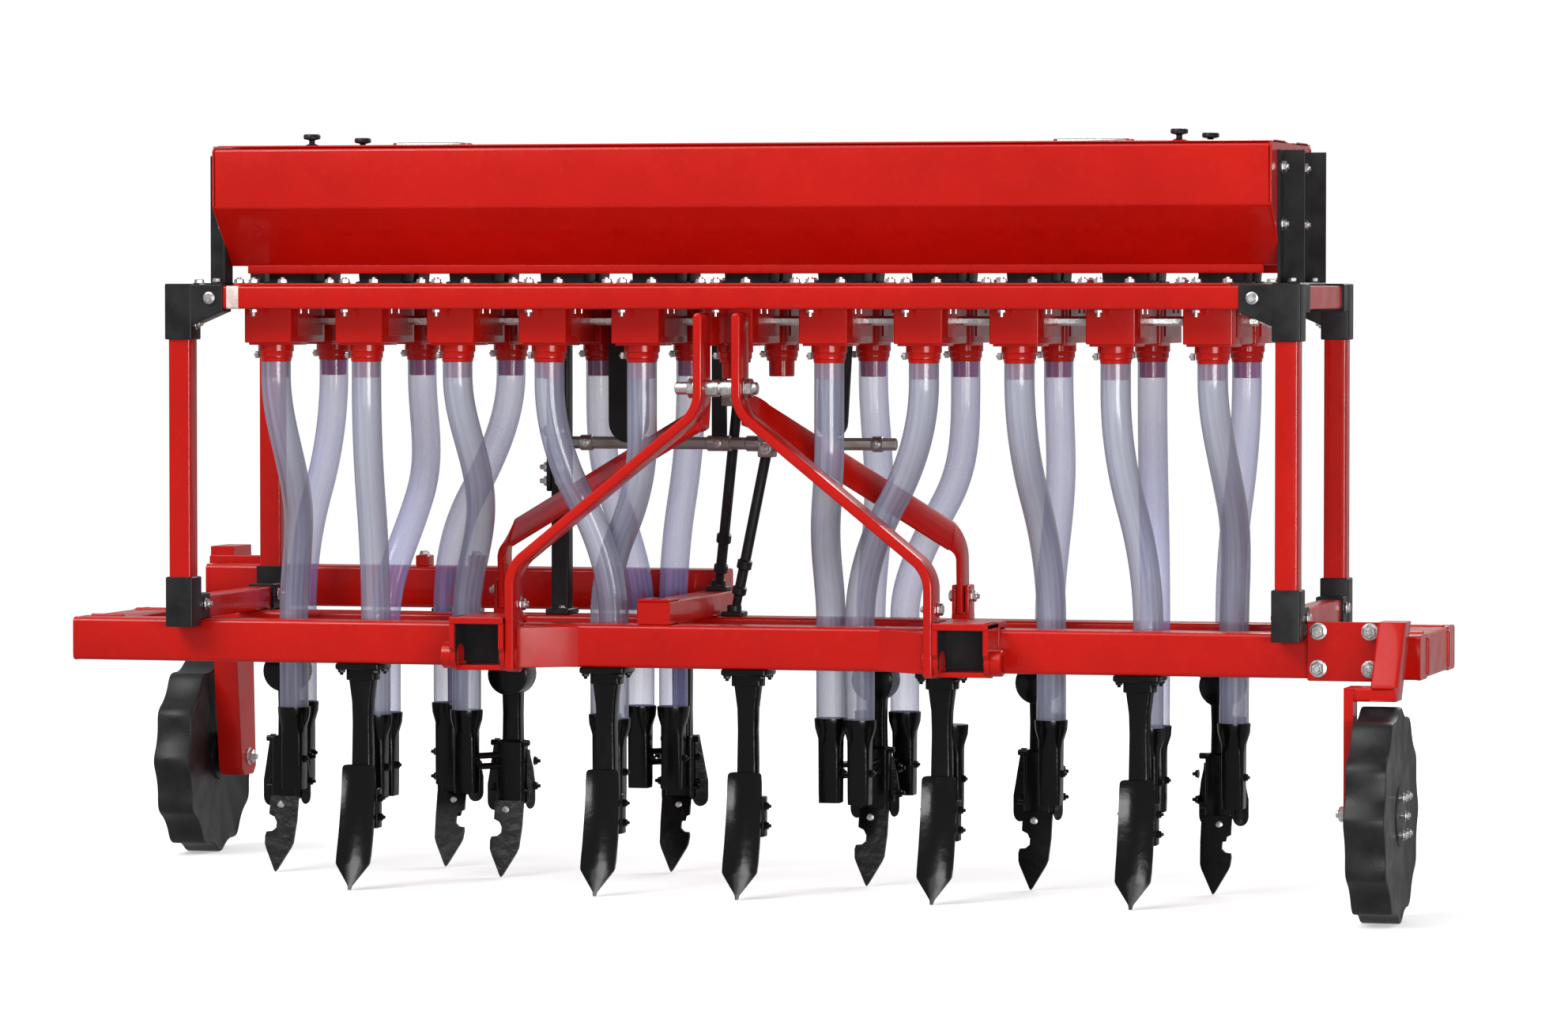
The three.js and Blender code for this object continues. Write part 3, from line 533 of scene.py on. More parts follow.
def bolts(origin, *rows):
    """Bolts about one origin, from rows of a place, a way, a size and a stub."""
    return [shape for place, *rest in rows for shape in bolt(np.add(origin, place), *rest)]


def welds(origin, *rows):
    """Weld beads about one origin, from rows of a start and an end."""
    return [weld(np.add(origin, start), np.add(origin, end)) for start, end in rows]


def rod(radius, length, ease, cut=0.001):
    """The profile of a rod whose ends are eased: cut off the radius, over the length of ease."""
    return [(radius - cut, 0), (radius, ease), (radius, length - ease), (radius - cut, length)]


def level(outline, x, y, z):
    """One ring of a loft: an outline laid level at a height, about a point."""
    return np.column_stack([outline + (x, y), np.full(len(outline), z)])


def dark_slot(start, end, half_width, count):
    """A flat dark mark between two points: painted shade that stands for a slot cut in a plate."""
    section = rounded(half_width, 0.0008, 0.0007, 3)
    return swept(section, np.linspace(start, end, count), (0, 0, 1))

def corners(node):
    """The low and the high corner of a piece of the CAD frame."""
    low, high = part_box(node)
    return np.array(low), np.array(high)


cap_depth = 0.004
cap_swell = 0.0006


def capped(low, high):
    """A square tube along x with a cap, a little wider than the tube, on either end."""
    tube = bar((low[0] + cap_depth, low[1], low[2]), (high[0] - cap_depth, high[1], high[2]), 0, 0.007)
    shapes = [tube]
    for x in (low[0] + cap_depth, high[0] - cap_depth):
        cap_low = (x - cap_depth, low[1] - cap_swell, low[2] - cap_swell)
        cap_high = (x + cap_depth, high[1] + cap_swell, high[2] + cap_swell)
        shapes.append(bar(cap_low, cap_high, 0, 0.008, 0.001))
    return shapes


low, high = corners("front_beam")
beam_bottom = low[2]
beam_top = low[2] + beam_size
front_shapes = capped((low[0], front_face, beam_bottom), (high[0], high[1], beam_top))
front = piece("front_beam_tube", front_shapes, red)

gusset_front = low[1]
gusset_reach = 0.3637
gusset_length = 0.096
gussets = []
for side in (-1, 1):
    near, far = side * gusset_reach, side * (gusset_reach - gusset_length)
    wedge = [
        (middle_x + far, front_face + 0.001),
        (middle_x + near, front_face + 0.001),
        (middle_x + near, gusset_front),
        (middle_x + near - side * 0.01, gusset_front + 0.002),
    ]
    gussets.append(plate(wedge, 2, beam_bottom + 0.001, beam_top - 0.003))
piece("hitch_gussets", gussets, red, bevel=0.002)
# Black marks on top of the gussets: painted shade for the slots cut in them.
dark_slots = []
for side in (-1, 1):
    slot_path = np.array([[side * 0.322, -0.014, 0], [side * 0.340, -0.026, 0]])
    slot_path += (middle_x, front_face, beam_top - 0.0034)
    dark_slots.append(dark_slot(*slot_path, 0.006, 8))
piece("gusset_slot_shade", dark_slots, black)
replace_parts(front, "front_beam")

cross_tubes = []
seams = []
for node in ("end_tube_left", "end_tube_right"):
    low, high = corners(node)
    tube = bar(low - (0, 0.0003, 0), high + (0, 0.0003, 0), 1, 0.007, 0.0002)
    cross_tubes.append(tube)
    for y in (low[1], high[1]):
        for x in (low[0], high[0]):
            seams.append(weld((x, y, low[2] + 0.006), (x, y, high[2] - 0.006)))
        seams.append(weld((low[0] + 0.006, y, high[2]), (high[0] - 0.006, y, high[2])))
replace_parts(piece("end_tubes", cross_tubes, red), "end_tube_left", "end_tube_right")
piece("end_tube_welds", seams, red, sharp=60)

for node in ("middle_beam", "rear_beam"):
    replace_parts(piece(f"{node}_tube", capped(*corners(node)), red), node)

low, high = corners("centre_rail")
rail = bar(low, high, 1, 0.005)
rail_middle = (low[0] + high[0]) / 2
block_low = (low[0] + 0.002, low[1] - 0.002, high[2])
block_high = (high[0] - 0.002, low[1] + 0.07, high[2] + 0.004)
rail_block = bar(block_low, block_high, 1, 0.002, 0.001)
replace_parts(piece("centre_rail_tube", [rail, rail_block], red), "centre_rail")
# Black marks on the rail block: painted shade for two holes in it.
hole_shades = []
for y in (0.020, 0.050):
    spot = np.array([rail_middle, low[1] + y, high[2] + 0.0042])
    hole_shades.append(dark_slot(spot - (0.006, 0, 0), spot + (0.006, 0, 0), 0.009, 6))
piece("centre_rail_hole_shade", hole_shades, black)

for node in ("lower_rail_left", "lower_rail_right", "upper_rail_left", "upper_rail_right"):
    low, high = corners(node)
    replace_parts(piece(f"{node}_tube", [bar(low, high, 1, 0.004)], red), node)

# Lugs and bolts on the rear beam, where the real frame takes its spare clamps
low, high = corners("rear_beam")
lugs = []
heads = []
for x in (-0.70, -0.60):
    lugs += bars((x, low[1], high[2]), ((-0.012, 0.012, 0), (0.012, 0.050, 0.020), 2, 0.003))
    heads += bolt((x, low[1] + 0.03, high[2] + 0.020), (0, 0, 1), 0.009)
piece("rear_beam_lugs", lugs, red)
piece("rear_beam_lug_bolts", heads, zinc)


# ---------------------------------------------------------------- Legs and upper beams
# Red 40 mm tube in black folded sockets, which are bolted to the rails and to the two upper
# beams that carry the deck.
leg_half = 0.020
socket_half = 0.025
arm_half = socket_half - 0.0007
arm_reach = 0.07
leg_bolts = []
for end, inward in (("front", 1), ("rear", -1)):
    for hand, side in (("left", -1), ("right", 1)):
        node = f"{end}_{hand}_leg"
        low, high = corners(node)
        x = high[0] - socket_half if side > 0 else low[0] + socket_half
        y = low[1] + socket_half if inward > 0 else high[1] - socket_half
        low_socket_top = beam_top + 0.076
        high_socket_low = high[2] - 0.098
        sleeve_low = high[2] - 0.049
        post_low = (-leg_half, -leg_half, low_socket_top - 0.02)
        post = bars((x, y, 0), (post_low, (leg_half, leg_half, high_socket_low + 0.02), 2, 0.004))
        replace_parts(piece(f"{node}_post", post, red), node)
        sockets = []
        for socket, arm in (
            ((low[2], low_socket_top), (beam_top + 0.0003, beam_top + 0.0453)),
            ((high_socket_low, high[2]), (sleeve_low, high[2] - 0.0007)),
        ):
            sockets += bars(
                (x, y, 0),
                ((-socket_half, -socket_half, socket[0]), (socket_half, socket_half, socket[1]), 2, 0.003),
                ((-arm_half, 0, arm[0]), (arm_half, inward * arm_reach, arm[1]), 1, 0.003),
            )
        piece(f"{node}_sockets", sockets, black)
        arm_outline = np.array([
            (0.02, -0.0014), (-0.082, -0.0014), (-0.082, -0.049), (-0.076, -0.051), (-0.024, -0.073),
            (0.02, -0.073),
        ])
        arm_outline = arm_outline * (side, 1) + (x, high[2])
        arm = plate(arm_outline, 1, y - socket_half + 0.001, y + socket_half - 0.001)
        piece(f"{node}_arm", [arm], black, bevel=0.002)
        for dx, dy, z, way, stub in (
            (-0.058, -socket_half, sleeve_low + 0.024, (0, -inward, 0), 0.0),
            (-socket_half, 0, high_socket_low + 0.028, (-side, 0, 0), 0.004),
            (-socket_half, 0.045, beam_top + 0.026, (-side, 0, 0), 0.004),
            (socket_half, 0.045, beam_top + 0.026, (side, 0, 0), 0.0),
            (-0.030, 0.002, high[2], (0, 0, 1), 0.0),
        ):
            leg_bolts += bolt((x + side * dx, y + inward * dy, z), way, 0.0085, stub)
piece("leg_bolts", leg_bolts, zinc)


def painted_highlight_finish():
    """A painted highlight: a pale, mottled band that stands in for a glint of light on the red beam."""
    finish, shader, spot = new_finish("painted_highlight_finish", "red_paint")
    cloud = spot.noise(0.01, 4).ramp(0.3, 0.75)
    cloud.blend(colour(0.62, 0.45, 0.40), colour(0.80, 0.74, 0.70)).into(shader, "Base Color")
    (0.4 + cloud * 0.2).into(shader, "Roughness")
    spot.noise(0.002, 3).bump(0.0001, 0.5).into(shader, "Normal")
    return finish


for end in ("front", "rear"):
    node = f"upper_{end}_beam"
    low, high = corners(node)
    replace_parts(piece(f"{node}_tube", [bar(low, high, 0, 0.004)], red), node)
# A pale band across the upper front beam beside the left socket: a painted highlight, laid on the beam as
# a sleeve of its own.
low, high = corners("upper_front_beam")
band_x = low[0] + 0.068
band_low = (band_x, low[1] - 0.0002, low[2] - 0.0002)
band_high = (band_x + 0.022, high[1] + 0.0002, high[2] + 0.0002)
piece("painted_highlight_band", [bar(band_low, band_high, 0, 0.0042, 0.0001)], painted_highlight_finish())


# ---------------------------------------------------------------- Hopper
# Two bins folded from red sheet: an upright panel, a panel that slopes in, a flat floor with a
# flange, and flat ends. Shallow press marks run along the sloping panels.
def filleted(points, radius, steps=5):
    """A line of points with each inner corner replaced by an arc of the radius given."""
    points = np.asarray(points, float)
    line = [points[0]]
    for before, at, after in zip(points[:-2], points[1:-1], points[2:]):
        a = (before - at) / np.linalg.norm(before - at)
        b = (after - at) / np.linalg.norm(after - at)
        half_turn = math.acos(max(-1, min(1, float(a @ b)))) / 2
        cut = radius / math.tan(half_turn)
        t = np.linspace(0, 1, steps)[:, None]
        start, end = at + a * cut, at + b * cut
        line += list((1 - t) ** 2 * start + 2 * t * (1 - t) * (at + (a + b) * cut * 0.12) + t**2 * end)
    line.append(points[-1])
    return np.array(line)


def sheet_outline(points, thickness, radius=0.006):
    """The closed outline of a bent sheet: its middle line moved half a thickness each way."""
    line = filleted(points, radius)
    along = np.gradient(line, axis=0)
    along /= np.linalg.norm(along, axis=1, keepdims=True)
    across = np.stack([-along[:, 1], along[:, 0]], -1) * thickness / 2
    return np.concatenate([line + across, (line - across)[::-1]])

def mirrored(points):
    """A line of distances before the hopper's middle, and then the same behind it."""
    behind = [(hopper_middle + y, z) for y, z in points[::-1]]
    return [(hopper_middle - y, z) for y, z in points] + behind


low, high = corners("hopper")
hopper_top = high[2] - 0.011
hopper_floor = low[2]
fold_z = hopper_top - 0.105
floor_half = 0.090
depth_half = (high[1] - low[1]) / 2
sheet = 0.003
inset = sheet / 2
trough_line = mirrored([
    (depth_half - 0.014, hopper_top - inset), (depth_half - inset, hopper_top - inset),
    (depth_half - inset, fold_z), (floor_half, hopper_floor + 0.003),
])
trough = plate(sheet_outline(trough_line, sheet), 0, low[0] + 0.001, high[0] - 0.001)
end_outline = mirrored([
    (floor_half + 0.001, hopper_floor + 0.0015), (depth_half, fold_z - 0.001), (depth_half, hopper_top)
])
ends = [plate(end_outline, 0, x, x + 0.004) for x in (low[0], high[0] - 0.004)]
partition, strip = bars(
    (0, hopper_middle, 0),
    ((low[0] + 0.004, -0.002, hopper_floor + 0.004), (high[0] - 0.004, 0.002, hopper_top - 0.003), 0,
     0.001, 0.0005),
    ((low[0] + 0.001, -0.022, hopper_top - 0.004), (high[0] - 0.001, 0.022, hopper_top), 0,
     0.001, 0.0005),
)
hopper_piece = piece("hopper_sheets", [trough, *ends, partition, strip], red, bevel=0.0009, sharp=24)
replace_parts(hopper_piece, "hopper")

# Flanges below the floor, to which the throats are bolted, and the press marks
flange_rails = []
for y in (hopper_middle - floor_half - 0.001, hopper_middle + floor_half + 0.001):
    flange_low = (low[0] + 0.03, y - 0.003, hopper_floor - 0.012)
    flange_high = (high[0] - 0.03, y + 0.003, hopper_floor + 0.003)
    flange_rails.append(bar(flange_low, flange_high, 0, 0.001, 0.001))
piece("hopper_floor_flanges", flange_rails, red)
slope = np.array([depth_half - floor_half, fold_z - hopper_floor])
slope /= np.linalg.norm(slope)
up_the_slope = 0.62
mark_profile = [(0.020, -0.0006), (0.013, 0.0003), (0.005, 0.0006)]
marks = []
for x in np.concatenate([unit_x - 0.042, unit_x + 0.030]):
    for facing in (-1, 1):
        spot_y = hopper_middle + facing * (floor_half + up_the_slope * (depth_half - floor_half))
        spot_z = hopper_floor + up_the_slope * (fold_z - hopper_floor)
        marks.append(turned(mark_profile, (x, spot_y, spot_z), (0, facing * slope[1], -slope[0])))
piece("hopper_press_marks", marks, red, sharp=80)
end_seams = []
for x in (low[0], high[0]):
    for facing in (-1, 1):
        fold = (x, hopper_middle + facing * depth_half, fold_z)
        foot = (x, hopper_middle + facing * floor_half, hopper_floor + 0.004)
        end_seams += [weld(fold, (*fold[:2], hopper_top - 0.004), 0.0018), weld(fold, foot, 0.0018)]
piece("hopper_end_seams", end_seams, red, sharp=60)


# ---------------------------------------------------------------- Lids
# Two red sheet lids hinged on the strip between the bins, each with a stiffening crease, two
# black knobs and two hinge barrels between lugs.
hinge_z = hopper_top + 0.007
hinge_gap = 0.020
hinge_half = 0.06
knob_profile = [
    (0.011, 0.0028), (0.011, 0.005), (0.0055, 0.007), (0.005, 0.012), (0.0065, 0.0135),
    (0.0135, 0.0150), (0.0150, 0.0165), (0.0150, 0.0215), (0.0140, 0.0232), (0.0120, 0.0238),
]
crease = [(0, 0.0012), (0.020, 0.0012), (0.028, 0.0030)]
for name, facing in (("front", -1), ("rear", 1)):
    low, high = corners(f"{name}_lid")
    inner = hopper_middle + facing * 0.028
    outer = hopper_middle + facing * depth_half
    lid_z = hopper_top + 0.0003
    lid_line = [(outer - facing * y, lid_z + z) for y, z in crease]
    lid_line += [(inner + facing * y, lid_z + z) for y, z in crease[::-1]]
    cover = plate(sheet_outline(lid_line, 0.0018, 0.003), 0, low[0], high[0])
    axis_y = hopper_middle + facing * hinge_gap
    leaves, barrels, lugs = [], [], []
    for x in (middle_x - 0.6, middle_x + 0.6):
        leaf_far = (hinge_half, inner + facing * 0.03, 0.0052)
        leaves += bars((x, 0, lid_z), ((-hinge_half, axis_y, 0.0022), leaf_far, 0, 0.001, 0.0008))
        barrel_start = (x - hinge_half, axis_y, hinge_z)
        barrels.append(turned(rod(0.0045, 2 * hinge_half, 0.001, 0.0005), barrel_start, (1, 0, 0), 16))
        for end in (-0.0635, 0.0635):
            lug_far = (0.003, 0.0045, hinge_z + 0.004)
            lug_near = (-0.003, -0.0045, hopper_top - 0.002)
            lugs += bars((x + end, axis_y, 0), (lug_near, lug_far, 0, 0.003, 0.0006))
    lid_piece = piece(f"{name}_lid_cover", [cover, *leaves], red, body=f"{name}_lid", sharp=24)
    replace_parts(lid_piece, f"{name}_lid")
    piece(f"{name}_lid_barrels", barrels, zinc, body=f"{name}_lid")
    knob_y = hopper_middle + facing * 0.140
    knobs = [turned(knob_profile, (middle_x + x, knob_y, lid_z), sides=24) for x in (-0.778, 0.778)]
    piece(f"{name}_lid_knobs", knobs, black, body=f"{name}_lid")
    piece(f"{name}_hinge_lugs", lugs, red)


# ---------------------------------------------------------------- Uprights
# Black steel angles, bolted to the hopper's ends and standing on foot strips on the rails.
angle_outline = np.array([
    (0, -0.040), (0.005, -0.040), (0.005, -0.005), (0.040, -0.005), (0.040, 0), (0, 0),
])
upright_bolts = []
for hand, side in (("left", -1), ("right", 1)):
    node = f"upright_{hand}"
    low, high = corners(node)
    face = low[0] if side > 0 else high[0]
    shapes = []
    for y in (hopper_middle - 0.088, hopper_middle + 0.122):
        shapes.append(plate(angle_outline * (side, 1) + (face, y), 2, low[2] + 0.005, high[2]))
        for z in (high[2] - 0.029, high[2] - 0.126):
            upright_bolts += bolt((face + side * 0.005, y - 0.024, z), (side, 0, 0), 0.0095, 0.003)
        upright_bolts += bolt((face + side * 0.022, y - 0.020, low[2] + 0.006), (0, 0, 1), 0.0085)
    foot_far = (side * 0.040, high[1], low[2] + 0.005)
    shapes += bars((face, 0, 0), ((0, low[1], low[2]), foot_far, 2, 0.001))
    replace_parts(piece(f"{node}_angles", shapes, black, bevel=0.0012), node)
piece("upright_bolts", upright_bolts, zinc)


# ---------------------------------------------------------------- Metering units
# One red box per row under each throat, with a slide plate on either side, zinc clips for the
# slides, and a stepped, many-sided spout that the hose is pushed over.
unit_half = 0.046
unit_low = feed_low.z + 0.033
unit_high = feed_high.z
spout = [
    (0.0300, 0.036), (0.0312, 0.034), (0.0315, 0.019), (0.0300, 0.0175), (0.0292, 0.016),
    (0.0292, 0.008), (0.0275, 0.006), (0.0268, 0.0004), (0.0232, 0.0), (0.0228, -0.026),
    (0.0215, -0.0275),
]
clip = np.array([
    (0, 0, -0.018), (0, 0, 0.012), (0, 0.004, 0.015), (0, 0.008, 0.012), (0, 0.008, -0.010),
])
for row, facing in (("front", -1), ("rear", 1)):
    low, high = corners(f"{row}_feed_units")
    boxes, plates, small = [], [], []
    face = hopper_middle + facing * 0.2025
    back = hopper_middle + facing * 0.018
    y0, y1 = min(face, back), max(face, back)
    for x in unit_x:
        boxes += bars(
            (x, 0, 0),
            ((-0.0435, y0, unit_low), (0.0435, y1, unit_high), 2, 0.004, 0.0012),
            ((-unit_half, y0 + 0.002, unit_high - 0.006), (unit_half, y1, unit_high), 2, 0.002, 0.0006),
            ((-0.040, y0 + 0.012, unit_low - 0.004), (0.040, y0 + 0.100, unit_low + 0.001), 2, 0.004,
             0.001),
        )
        boxes.append(turned(spout, (x, spout_y[row], spout_z), sides=16))
        for side in (-1, 1):
            slide_low = (-0.0009, y0 + 0.030, unit_low + 0.012)
            slide_high = (0.0009, y1 - 0.020, unit_high - 0.012)
            plates += bars((x + side * 0.0450, 0, 0), (slide_low, slide_high, 0, 0.001, 0.0003))
            for step in (0.046, 0.086):
                wire = clip + (x + side * 0.0465, face - facing * step, unit_high - 0.03)
                small.append(swept(circle(0.0014, 8), filleted(wire, 0.002, 4), (1, 0, 0)))
        spout_spot = (x, spout_y[row], spout_z)
        small += bolts(spout_spot, ((-0.0315, 0, 0.012), (-1, 0, 0), 0.0048, 0.003))
        small += bolt((x, face, unit_high - 0.014), (0, facing, 0), 0.0055)
        small += bars(spout_spot, ((-0.0375, -0.006, 0.006), (-0.0310, 0.006, 0.018), 0, 0.002, 0.0006))
    units = piece(f"{row}_units", boxes, red, sharp=28)
    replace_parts(units, f"{row}_feed_units")
    piece(f"{row}_unit_slides", plates, red)
    piece(f"{row}_unit_clips", small, zinc)
    shaft_start = (low[0], hopper_middle + facing * 0.055, unit_low + 0.039)
    shaft = turned(rod(0.008, high[0] - low[0], 0.001, 0.0005), shaft_start, (1, 0, 0), 6)
    piece(f"{row}_feed_shaft", [shaft], zinc)

# Deck and throats
low, high = corners("hopper_deck")
deck_top = 1.0613
throat_gap = 0.045
deck_low = (low[0] + 0.052, low[1], deck_top - 0.004)
deck = bar(deck_low, (high[0] - 0.052, high[1], deck_top), 0, 0.001, 0.0006)
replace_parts(piece("deck_sheet", [deck], red), "hopper_deck")
throat_rows = [
    (0, 0.046, 0.0385), (0.003, 0.046, 0.0385), (0.004, 0.040, 0.035), (0.018, 0.041, 0.036),
    (0.0265, 0.0455, 0.0385), (0.0294, 0.0455, 0.0385),
]
throats = []
for x in unit_x:
    for y in (hopper_middle - throat_gap, hopper_middle + throat_gap):
        rings = [level(rounded(*halves, 0.004), x, y, deck_top + z) for z, *halves in throat_rows]
        throats.append(loft(rings))
piece("throats", throats, black, sharp=26)

deck_bolts = []
for row, places in (("front", (-0.040, -0.013, 0.041)), ("rear", (-0.040, 0.041))):
    low, high = corners(f"upper_{row}_beam")
    y = (low[1] + high[1]) / 2
    for x in unit_x:
        for dx in places:
            deck_bolts += bolt((x + dx, y, deck_top), (0, 0, 1), 0.0088, 0.002)
        deck_bolts += bolt((x - 0.013, y, low[2]), (0, 0, -1), 0.0068, 0.006)
piece("deck_bolts", deck_bolts, zinc)


# ---------------------------------------------------------------- Lower hitch
# Two clevises welded to the front beam: a square mouth between two ears, whose rounded ends
# carry bored bosses for the lower link pins.
hitch_half_span = 0.430
pin_spot = (front_face - 0.048, beam_bottom + 0.021)
lobe_radius = 0.026


def boss_profile(outer, bore, height):
    """Out along a round boss, over its face and down into the bore."""
    return [
        (outer, 0), (outer, height - 0.002), (outer - 0.002, height), (bore + 0.0015, height),
        (bore, height - 0.0015), (bore, 0.002),
    ]


def ear_outline():
    """A plate that ends below in a round lobe about the pin."""
    y, z = pin_spot
    turn = np.linspace(math.radians(165), math.radians(375), 16)
    lobe = np.stack([y + lobe_radius * np.cos(turn), z + lobe_radius * np.sin(turn)], -1)
    return [
        (front_face, beam_top + 0.014), (front_face - 0.080, beam_top + 0.014),
        (front_face - 0.080, z + 0.014), *lobe, (front_face, beam_bottom)
    ]


for hand, side in (("left", -1), ("right", 1)):
    centre = middle_x + side * hitch_half_span
    origin = (centre, front_face, 0)
    shapes = []
    bosses = []
    for inner in (-1, 1):
        shapes.append(plate(ear_outline(), 0, *sorted((centre + inner * 0.049, centre + inner * 0.040))))
        height = 0.020 if inner == side else 0.004
        for outer, tall, x, way in ((0.023, height, 0.0485, inner), (0.021, 0.003, 0.0405, -inner)):
            profile = boss_profile(outer, 0.0145, tall)
            bosses.append(turned(profile, (centre + inner * x, *pin_spot), (way, 0, 0), 28))
    shapes += bars(
        origin,
        ((-0.049, -0.082, beam_top + 0.002), (0.049, 0.063, beam_top + 0.014), 1, 0.003),
        ((-0.042, -0.060, beam_bottom - 0.004), (0.042, 0, beam_bottom + 0.005), 1, 0.002),
    )
    clevis_piece = piece(f"clevis_{hand}_plates", shapes, red, bevel=0.0018)
    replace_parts(clevis_piece, f"clevis_{hand}")
    piece(f"clevis_{hand}_bosses", bosses, red, sharp=40)
    # Thin black sheets on the inside walls and at the back of the mouth, which make it near black.
    mouth_darkening = bars(
        origin,
        ((-0.040, -0.012, beam_bottom + 0.004), (0.040, -0.008, beam_top + 0.003), 1, 0.001, 0.0005),
        ((-0.0402, -0.074, beam_bottom + 0.010), (-0.0388, -0.010, beam_top + 0.002), 1, 0.0003, 0.0002),
        ((0.0388, -0.074, beam_bottom + 0.010), (0.0402, -0.010, beam_top + 0.002), 1, 0.0003, 0.0002),
    )
    piece(f"clevis_{hand}_lining", mouth_darkening, black)
    beads = welds(
        origin,
        ((-0.047, 0.0635, beam_top + 0.003), (0.047, 0.0635, beam_top + 0.003)),
        ((-0.0495, -0.001, beam_bottom + 0.03), (-0.0495, -0.001, beam_top + 0.008)),
        ((0.0495, -0.001, beam_bottom + 0.03), (0.0495, -0.001, beam_top + 0.008)),
    )
    piece(f"clevis_{hand}_welds", beads, red, sharp=60)


# ---------------------------------------------------------------- Mast
# Two flat bars bent by hand round a former, with rounded ends, drawn together at the top by
# the top link pin.
mast_depth = 0.060
mast_thickness = 0.017
low, high = corners("mast_right")
mast_front = low[1]
mast_top = high[2]
mast_foot = low[2]
mast_foot_x = 0.3722
mast_top_x = 0.034
top_pin_z = mast_top - 0.130
top_pin_y = front_face - 0.045


def bent_bar(points, thickness, depth, front, radius):
    """A flat bar along a bent line in x and z, whose far end closes in a half circle.

    Over the last half thickness the width is the thickness times the root of 1 - t squared.
    """
    line = filleted(points, radius, 10)
    way = (line[-1] - line[-2]) / np.linalg.norm(line[-1] - line[-2])
    t = np.array([0.0, 0.35, 0.6, 0.8, 0.93, 0.99])
    tip = line[-1] + way * thickness / 2 * (t[:, None] - 1)
    line = np.concatenate([line[:-1], tip])
    share = np.concatenate([np.ones(len(line) - len(t)), np.sqrt(1 - t**2)])
    section = rounded(thickness / 2, depth / 2, 0.004) * np.stack([share, share**0.1], -1)[:, None]
    path = np.column_stack([line[:, 0], np.full(len(line), front + depth / 2), line[:, 1]])
    return swept(section, path, (0, 1, 0))


mast_bolts = []
for hand, side in (("left", -1), ("right", 1)):
    line = [
        (middle_x + side * mast_foot_x, mast_foot),
        (middle_x + side * mast_foot_x, beam_top + 0.100),
        (middle_x + side * mast_top_x, mast_top - 0.168),
        (middle_x + side * mast_top_x, mast_top),
    ]
    mast_bar = bent_bar(line, mast_thickness, mast_depth, mast_front, 0.055)
    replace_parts(piece(f"mast_{hand}_bar", [mast_bar], red, sharp=40), f"mast_{hand}")
    inner_x = middle_x + side * (mast_foot_x - mast_thickness / 2)
    mast_bolts += bolts(
        (inner_x, front_face, 0),
        ((0, -0.030, beam_top + 0.035), (-side, 0, 0), 0.0105, 0.004),
        ((0, -0.045, beam_bottom + 0.033), (-side, 0, 0), 0.0105, 0.004),
        ((side * mast_thickness, -0.030, beam_top + 0.035), (side, 0, 0), 0.0105),
    )
    foot_start = (inner_x - side * 0.004, front_face - 0.045, mast_foot + 0.021)
    foot = turned(rod(0.026, mast_thickness + 0.008, 0.002, 0.002), foot_start, (side, 0, 0), 28)
    piece(f"mast_{hand}_foot_boss", [foot], red, sharp=40)
piece("mast_bolts", mast_bolts, zinc)

# The top link pin, with a washer and a nut outside each bar and a sleeve inside it
low, high = corners("top_link_pin")
pin_start = (low[0], top_pin_y, top_pin_z)
pin_shapes = [turned(rod(0.011, high[0] - low[0], 0.002, 0.002), pin_start, (1, 0, 0), 24)]
pin_parts = [
    (1, 24, [(0.018, 0), (0.019, 0.001), (0.019, 0.0025)]),
    (1, 6, [(0.0165, 0.003), (0.0170, 0.0035), (0.0170, 0.0135), (0.0145, 0.0150)]),
    (-1, 24, [(0.0145, 0), (0.0145, 0.022), (0.0125, 0.0235)]),
]
for side in (-1, 1):
    for outward, sides, profile in pin_parts:
        x = middle_x + side * (mast_top_x + outward * (mast_thickness / 2 + 0.0005))
        pin_shapes.append(turned(profile, (x, top_pin_y, top_pin_z), (side * outward, 0, 0), sides))
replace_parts(piece("top_pin_and_nuts", pin_shapes, zinc), "top_link_pin")


# ---------------------------------------------------------------- Braces
# Broad flat bars from behind the mast head to brackets on the middle beam, where their ends
# are turned down and bolted.
brace_foot_y = front_face + 0.310
brace_bolts = []
for hand, side, foot in (("left", -1, -0.500), ("right", 1, 0.343)):
    corners_of_bar = np.array([
        (side * mast_top_x, -0.012, mast_top - 0.166),
        (side * (mast_top_x + 0.012), 0.034, mast_top - 0.176),
        (foot, 0.310, beam_top + 0.135),
        (foot, 0.317, beam_top + 0.014),
    ]) + (middle_x, front_face, 0)
    path = filleted(corners_of_bar, 0.045, 12)
    flat_bar = swept(rounded(0.029, 0.0055, 0.003, 3), path, (1, 0, 0))
    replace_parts(piece(f"brace_{hand}_bar", [flat_bar], red, sharp=40), f"brace_{hand}")
    origin = (middle_x + foot, brace_foot_y, beam_top)
    bracket = bars(
        origin,
        ((-0.016, -0.016, 0.0003), (0.016, 0.030, 0.012), 2, 0.003),
        ((-0.016, -0.014, 0.010), (-0.0075, 0.028, 0.062), 2, 0.003),
        ((0.0075, -0.014, 0.010), (0.016, 0.028, 0.062), 2, 0.003),
    )
    piece(f"brace_{hand}_bracket", bracket, red)
    brace_bolts += bolts(
        origin,
        ((side * 0.016, 0.007, 0.042), (side, 0, 0), 0.010, 0.004),
        ((-side * 0.016, 0.007, 0.042), (-side, 0, 0), 0.010),
    )
piece("brace_bolts", brace_bolts, zinc)


